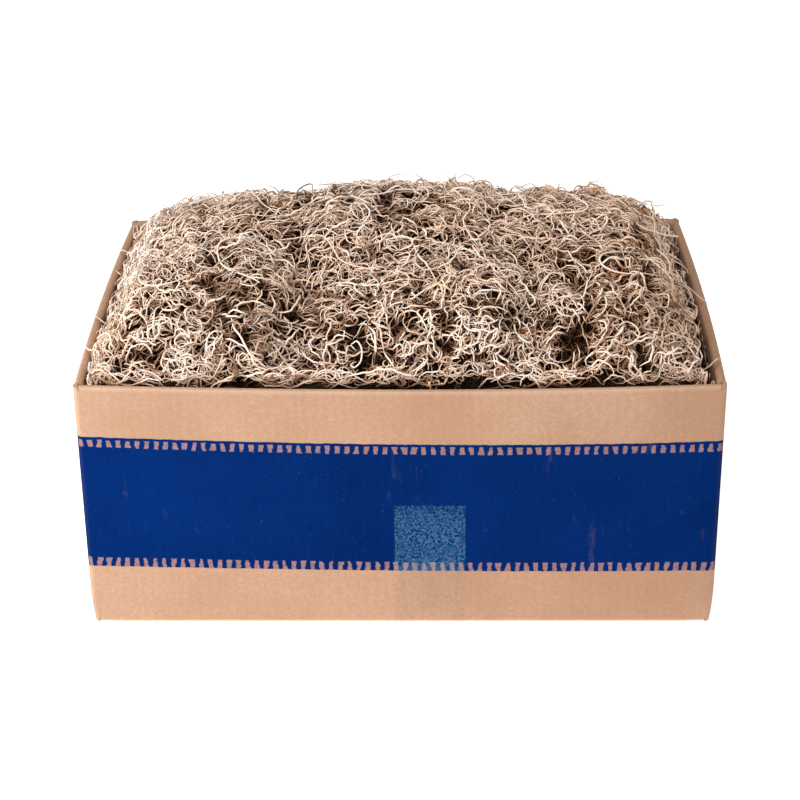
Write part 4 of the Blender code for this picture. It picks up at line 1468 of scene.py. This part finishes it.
class MOSSBOX_OT_tangles(bpy.types.Operator):
    """Grow the tangled strands over the heap, in one piece for each wad"""
    bl_idname = "mossbox.tangles"
    bl_label = "Moss tangles"

    def execute(self, context):
        moss = context.scene.mossbox_moss
        heap = Heap()
        grower = Tangle(np.random.default_rng(moss.seed), heap, context.scene.mossbox_carton)
        # The under layer's lower tone is painted shade, beside the shade its depth brings.
        grower.stems(
            moss.under, deepest=-0.0090, highest=-0.0040, thick=(0.00070, 0.00105),
            light=-0.10, wave=(10, 50), steps=12, lean=1.0
        )
        stems = grower.stems(
            moss.stems, deepest=-0.0055, highest=0.0002, thick=(0.00048, 0.00080),
            light=0.02, wave=(60, 200)
        )
        # The top stems' higher tone is partly their own paler colour, partly a painted highlight.
        bright = grower.stems(
            moss.bright, deepest=-0.0016, highest=0.0012, thick=(0.00060, 0.00090),
            light=0.26, wave=(50, 170)
        )
        grower.leaves(moss.leaves // 3, bright)
        grower.leaves(moss.leaves - moss.leaves // 3, stems)
        grower.curls(
            moss.curls, deepest=-0.0045, highest=0.0008, tightest=0.0024, widest=0.0068
        )
        grower.wisps(moss.wisps)
        middle = [sum(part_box(name), Vector()) / 2 for name in WADS]
        middle = np.array([point[:2] for point in middle])
        fibre = shared("moss_fibre", moss_fibre, moss)
        for k, wad in enumerate(WADS):
            mine = []
            for part in grower.sets:
                centre = part["places"].mean(1)[:, None, :2]
                chosen = np.argmin(np.linalg.norm(centre - middle, axis=2), axis=1) == k
                mine.append({key: value[chosen] for key, value in part.items()})
            name = wad.replace("moss_wad_", "moss_tangle_")
            seated(name, swept(name, mine, fibre, 3), [wad])
        return {"FINISHED"}


class MOSSBOX_OT_loose_strands(bpy.types.Operator):
    """Lay the single strands over the heap: the nodes' own, and those that stand out"""
    bl_idname = "mossbox.loose_strands"
    bl_label = "Loose strands"

    def execute(self, context):
        moss = context.scene.mossbox_moss
        heap = Heap()
        dice = np.random.default_rng(moss.seed + 1)
        fibre = shared("moss_fibre", moss_fibre, moss)
        lines = np.stack([resampled(middles(name), 60) for name in SINGLE_STRANDS])
        count = len(lines)
        own = strand_set(
            lines, np.full(lines.shape[:2], 0.001), dice.uniform(0.00058, 0.00078, count),
            (0.6, 0.4), dice.uniform(0.66, 0.95, count), dice.uniform(0, 0.6, count)
        )
        points = 24
        over = []
        for radius, *line in STANDOUT:
            x, y = resampled(np.array(line) * MM, points).T
            gone = np.cumsum(np.hypot(np.diff(x, prepend=x[0]), np.diff(y, prepend=y[0])))
            sway = np.sin(gone * dice.uniform(500, 900, (2, 1)) + dice.uniform(0, 6, (2, 1)))
            sway = 0.00035 * sway * np.sin(np.linspace(0, math.pi, points))
            lift = 0.0016 - 0.0036 * np.abs(np.linspace(-1, 1, points)) ** 4
            over.append(heap.place(x + sway[0], y + sway[1], lift + dice.uniform(-0.0004, 0.0006)))
        over += [resampled(np.array(line) * MM, points) for _, *line in ASTRAY]
        over = np.stack(over)
        count = len(over)
        radius = np.array([line[0] for line in STANDOUT + ASTRAY]) * 0.84 * MM
        tone = dice.uniform(0.70, 0.95, count)
        tone[len(STANDOUT):] = dice.uniform(0.4, 0.8, len(ASTRAY))
        standing = strand_set(
            over, np.full(over.shape[:2], 0.001), radius, (0.55, 0.4), tone,
            dice.uniform(0.0, 0.55, count)
        )
        mesh = swept("moss_loose_strands", [own, standing], fibre, 5)
        seated("moss_loose_strands", mesh, SINGLE_STRANDS)
        return {"FINISHED"}


# Stage


# The camera in metres, degrees and millimetres, fitted to the carton's corners on the photograph
CAMERA_PLACE = (0.02399, -1.36791, 0.76786)
CAMERA_YAW = -1.1071
CAMERA_PITCH = 26.1051
CAMERA_ROLL = -0.6051
CAMERA_LENS = 92.64


def camera_matrix():
    yaw, pitch, roll = (math.radians(a) for a in (CAMERA_YAW, CAMERA_PITCH, CAMERA_ROLL))
    level = math.cos(pitch)
    ahead = Vector((math.sin(yaw) * level, math.cos(yaw) * level, -math.sin(pitch)))
    right = Vector((math.cos(yaw), -math.sin(yaw), 0))
    up = right.cross(ahead)
    right, up = (math.cos(roll) * right + math.sin(roll) * up,
                 math.cos(roll) * up - math.sin(roll) * right)
    turn = Matrix((right, up, -ahead)).transposed().to_4x4()
    return Matrix.Translation(CAMERA_PLACE) @ turn


def soft_light(name, power, size, place, target, colour):
    light = bpy.data.lights.new(name, "AREA")
    light.shape = "RECTANGLE"
    light.size = light.size_y = size
    light.energy = power
    light.color = colour
    lamp = bpy.data.objects.new(name, light)
    lamp.location = place
    lamp.rotation_euler = (Vector(target) - Vector(place)).to_track_quat("-Z", "Y").to_euler()
    bpy.context.scene.collection.objects.link(lamp)


class MOSSBOX_OT_stage(bpy.types.Operator):
    """Set up the pale floor, the soft light and the camera"""
    bl_idname = "mossbox.stage"
    bl_label = "Stage"

    def execute(self, context):
        scene = context.scene
        stage = scene.mossbox_stage
        scene.view_settings.view_transform = "Standard"
        mesh = bpy.data.meshes.new("floor")
        wide = 6.0
        mesh.from_pydata([(-wide, -wide, 0), (wide, -wide, 0), (wide, wide, 0), (-wide, wide, 0)],
                         [], [(0, 1, 2, 3)])
        mesh.materials.append(pale_floor("pale_floor", stage.glow))
        floor = bpy.data.objects.new("floor", mesh)
        scene.collection.objects.link(floor)
        for light in (
            ("key", stage.key, 0.5, (-0.62, -1.0, 0.85), (0, 0, 0.12), (0.97, 0.98, 1.0)),
            ("side", stage.side, 0.2, (-0.55, -0.32, 0.22), (-0.1, -0.1, 0.1), (0.75, 0.88, 1.0)),
            ("top", stage.top, 0.6, (-0.25, -0.45, 1.45), (0, 0, 0.2), (1.0, 0.975, 0.94)),
        ):
            soft_light(*light)
        world = bpy.data.worlds.new("white_room")
        world.use_nodes = True
        air = world.node_tree.nodes["Background"]
        air.inputs["Color"].default_value = (1, 1, 1, 1)
        air.inputs["Strength"].default_value = stage.air
        scene.world = world
        lens = bpy.data.cameras.new("camera")
        lens.lens = CAMERA_LENS
        lens.sensor_width = 36
        lens.clip_end = 20
        camera = bpy.data.objects.new("camera", lens)
        camera.matrix_world = camera_matrix()
        scene.collection.objects.link(camera)
        scene.camera = camera
        return {"FINISHED"}


# Panel


OPERATORS = (
    MOSSBOX_OT_walls, MOSSBOX_OT_top_flaps, MOSSBOX_OT_bottom_flaps, MOSSBOX_OT_glue_tab,
    MOSSBOX_OT_tape, MOSSBOX_OT_packed_moss, MOSSBOX_OT_tangles, MOSSBOX_OT_loose_strands,
    MOSSBOX_OT_stage,
)
SETTINGS = {
    "mossbox_carton": CartonSettings,
    "mossbox_print": PrintSettings,
    "mossbox_tape": TapeSettings,
    "mossbox_moss": MossSettings,
    "mossbox_stage": StageSettings,
}


class MOSSBOX_PT_panel(bpy.types.Panel):
    """The carton's settings and the steps that build it"""
    bl_idname = "MOSSBOX_PT_panel"
    bl_label = "Boxed spanish moss"
    bl_space_type = "VIEW_3D"
    bl_region_type = "UI"
    bl_category = "Moss Box"

    def draw(self, context):
        for key, kind in SETTINGS.items():
            box = self.layout.box()
            for name in kind.__annotations__:
                box.prop(getattr(context.scene, key), name)
        for operator in OPERATORS:
            self.layout.operator(operator.bl_idname)


CLASSES = (*SETTINGS.values(), *OPERATORS, MOSSBOX_PT_panel)


def register():
    for cls in CLASSES:
        bpy.utils.register_class(cls)
    for key, kind in SETTINGS.items():
        setattr(bpy.types.Scene, key, bpy.props.PointerProperty(type=kind))


def unregister():
    for key in SETTINGS:
        delattr(bpy.types.Scene, key)
    for cls in reversed(CLASSES):
        bpy.utils.unregister_class(cls)


def main():
    register()
    bpy.ops.mossbox.stage()
    bpy.ops.mossbox.walls()
    bpy.ops.mossbox.top_flaps()
    bpy.ops.mossbox.bottom_flaps()
    bpy.ops.mossbox.glue_tab()
    bpy.ops.mossbox.tape()
    bpy.ops.mossbox.packed_moss()
    bpy.ops.mossbox.tangles()
    bpy.ops.mossbox.loose_strands()


if __name__ == "__main__":
    main()
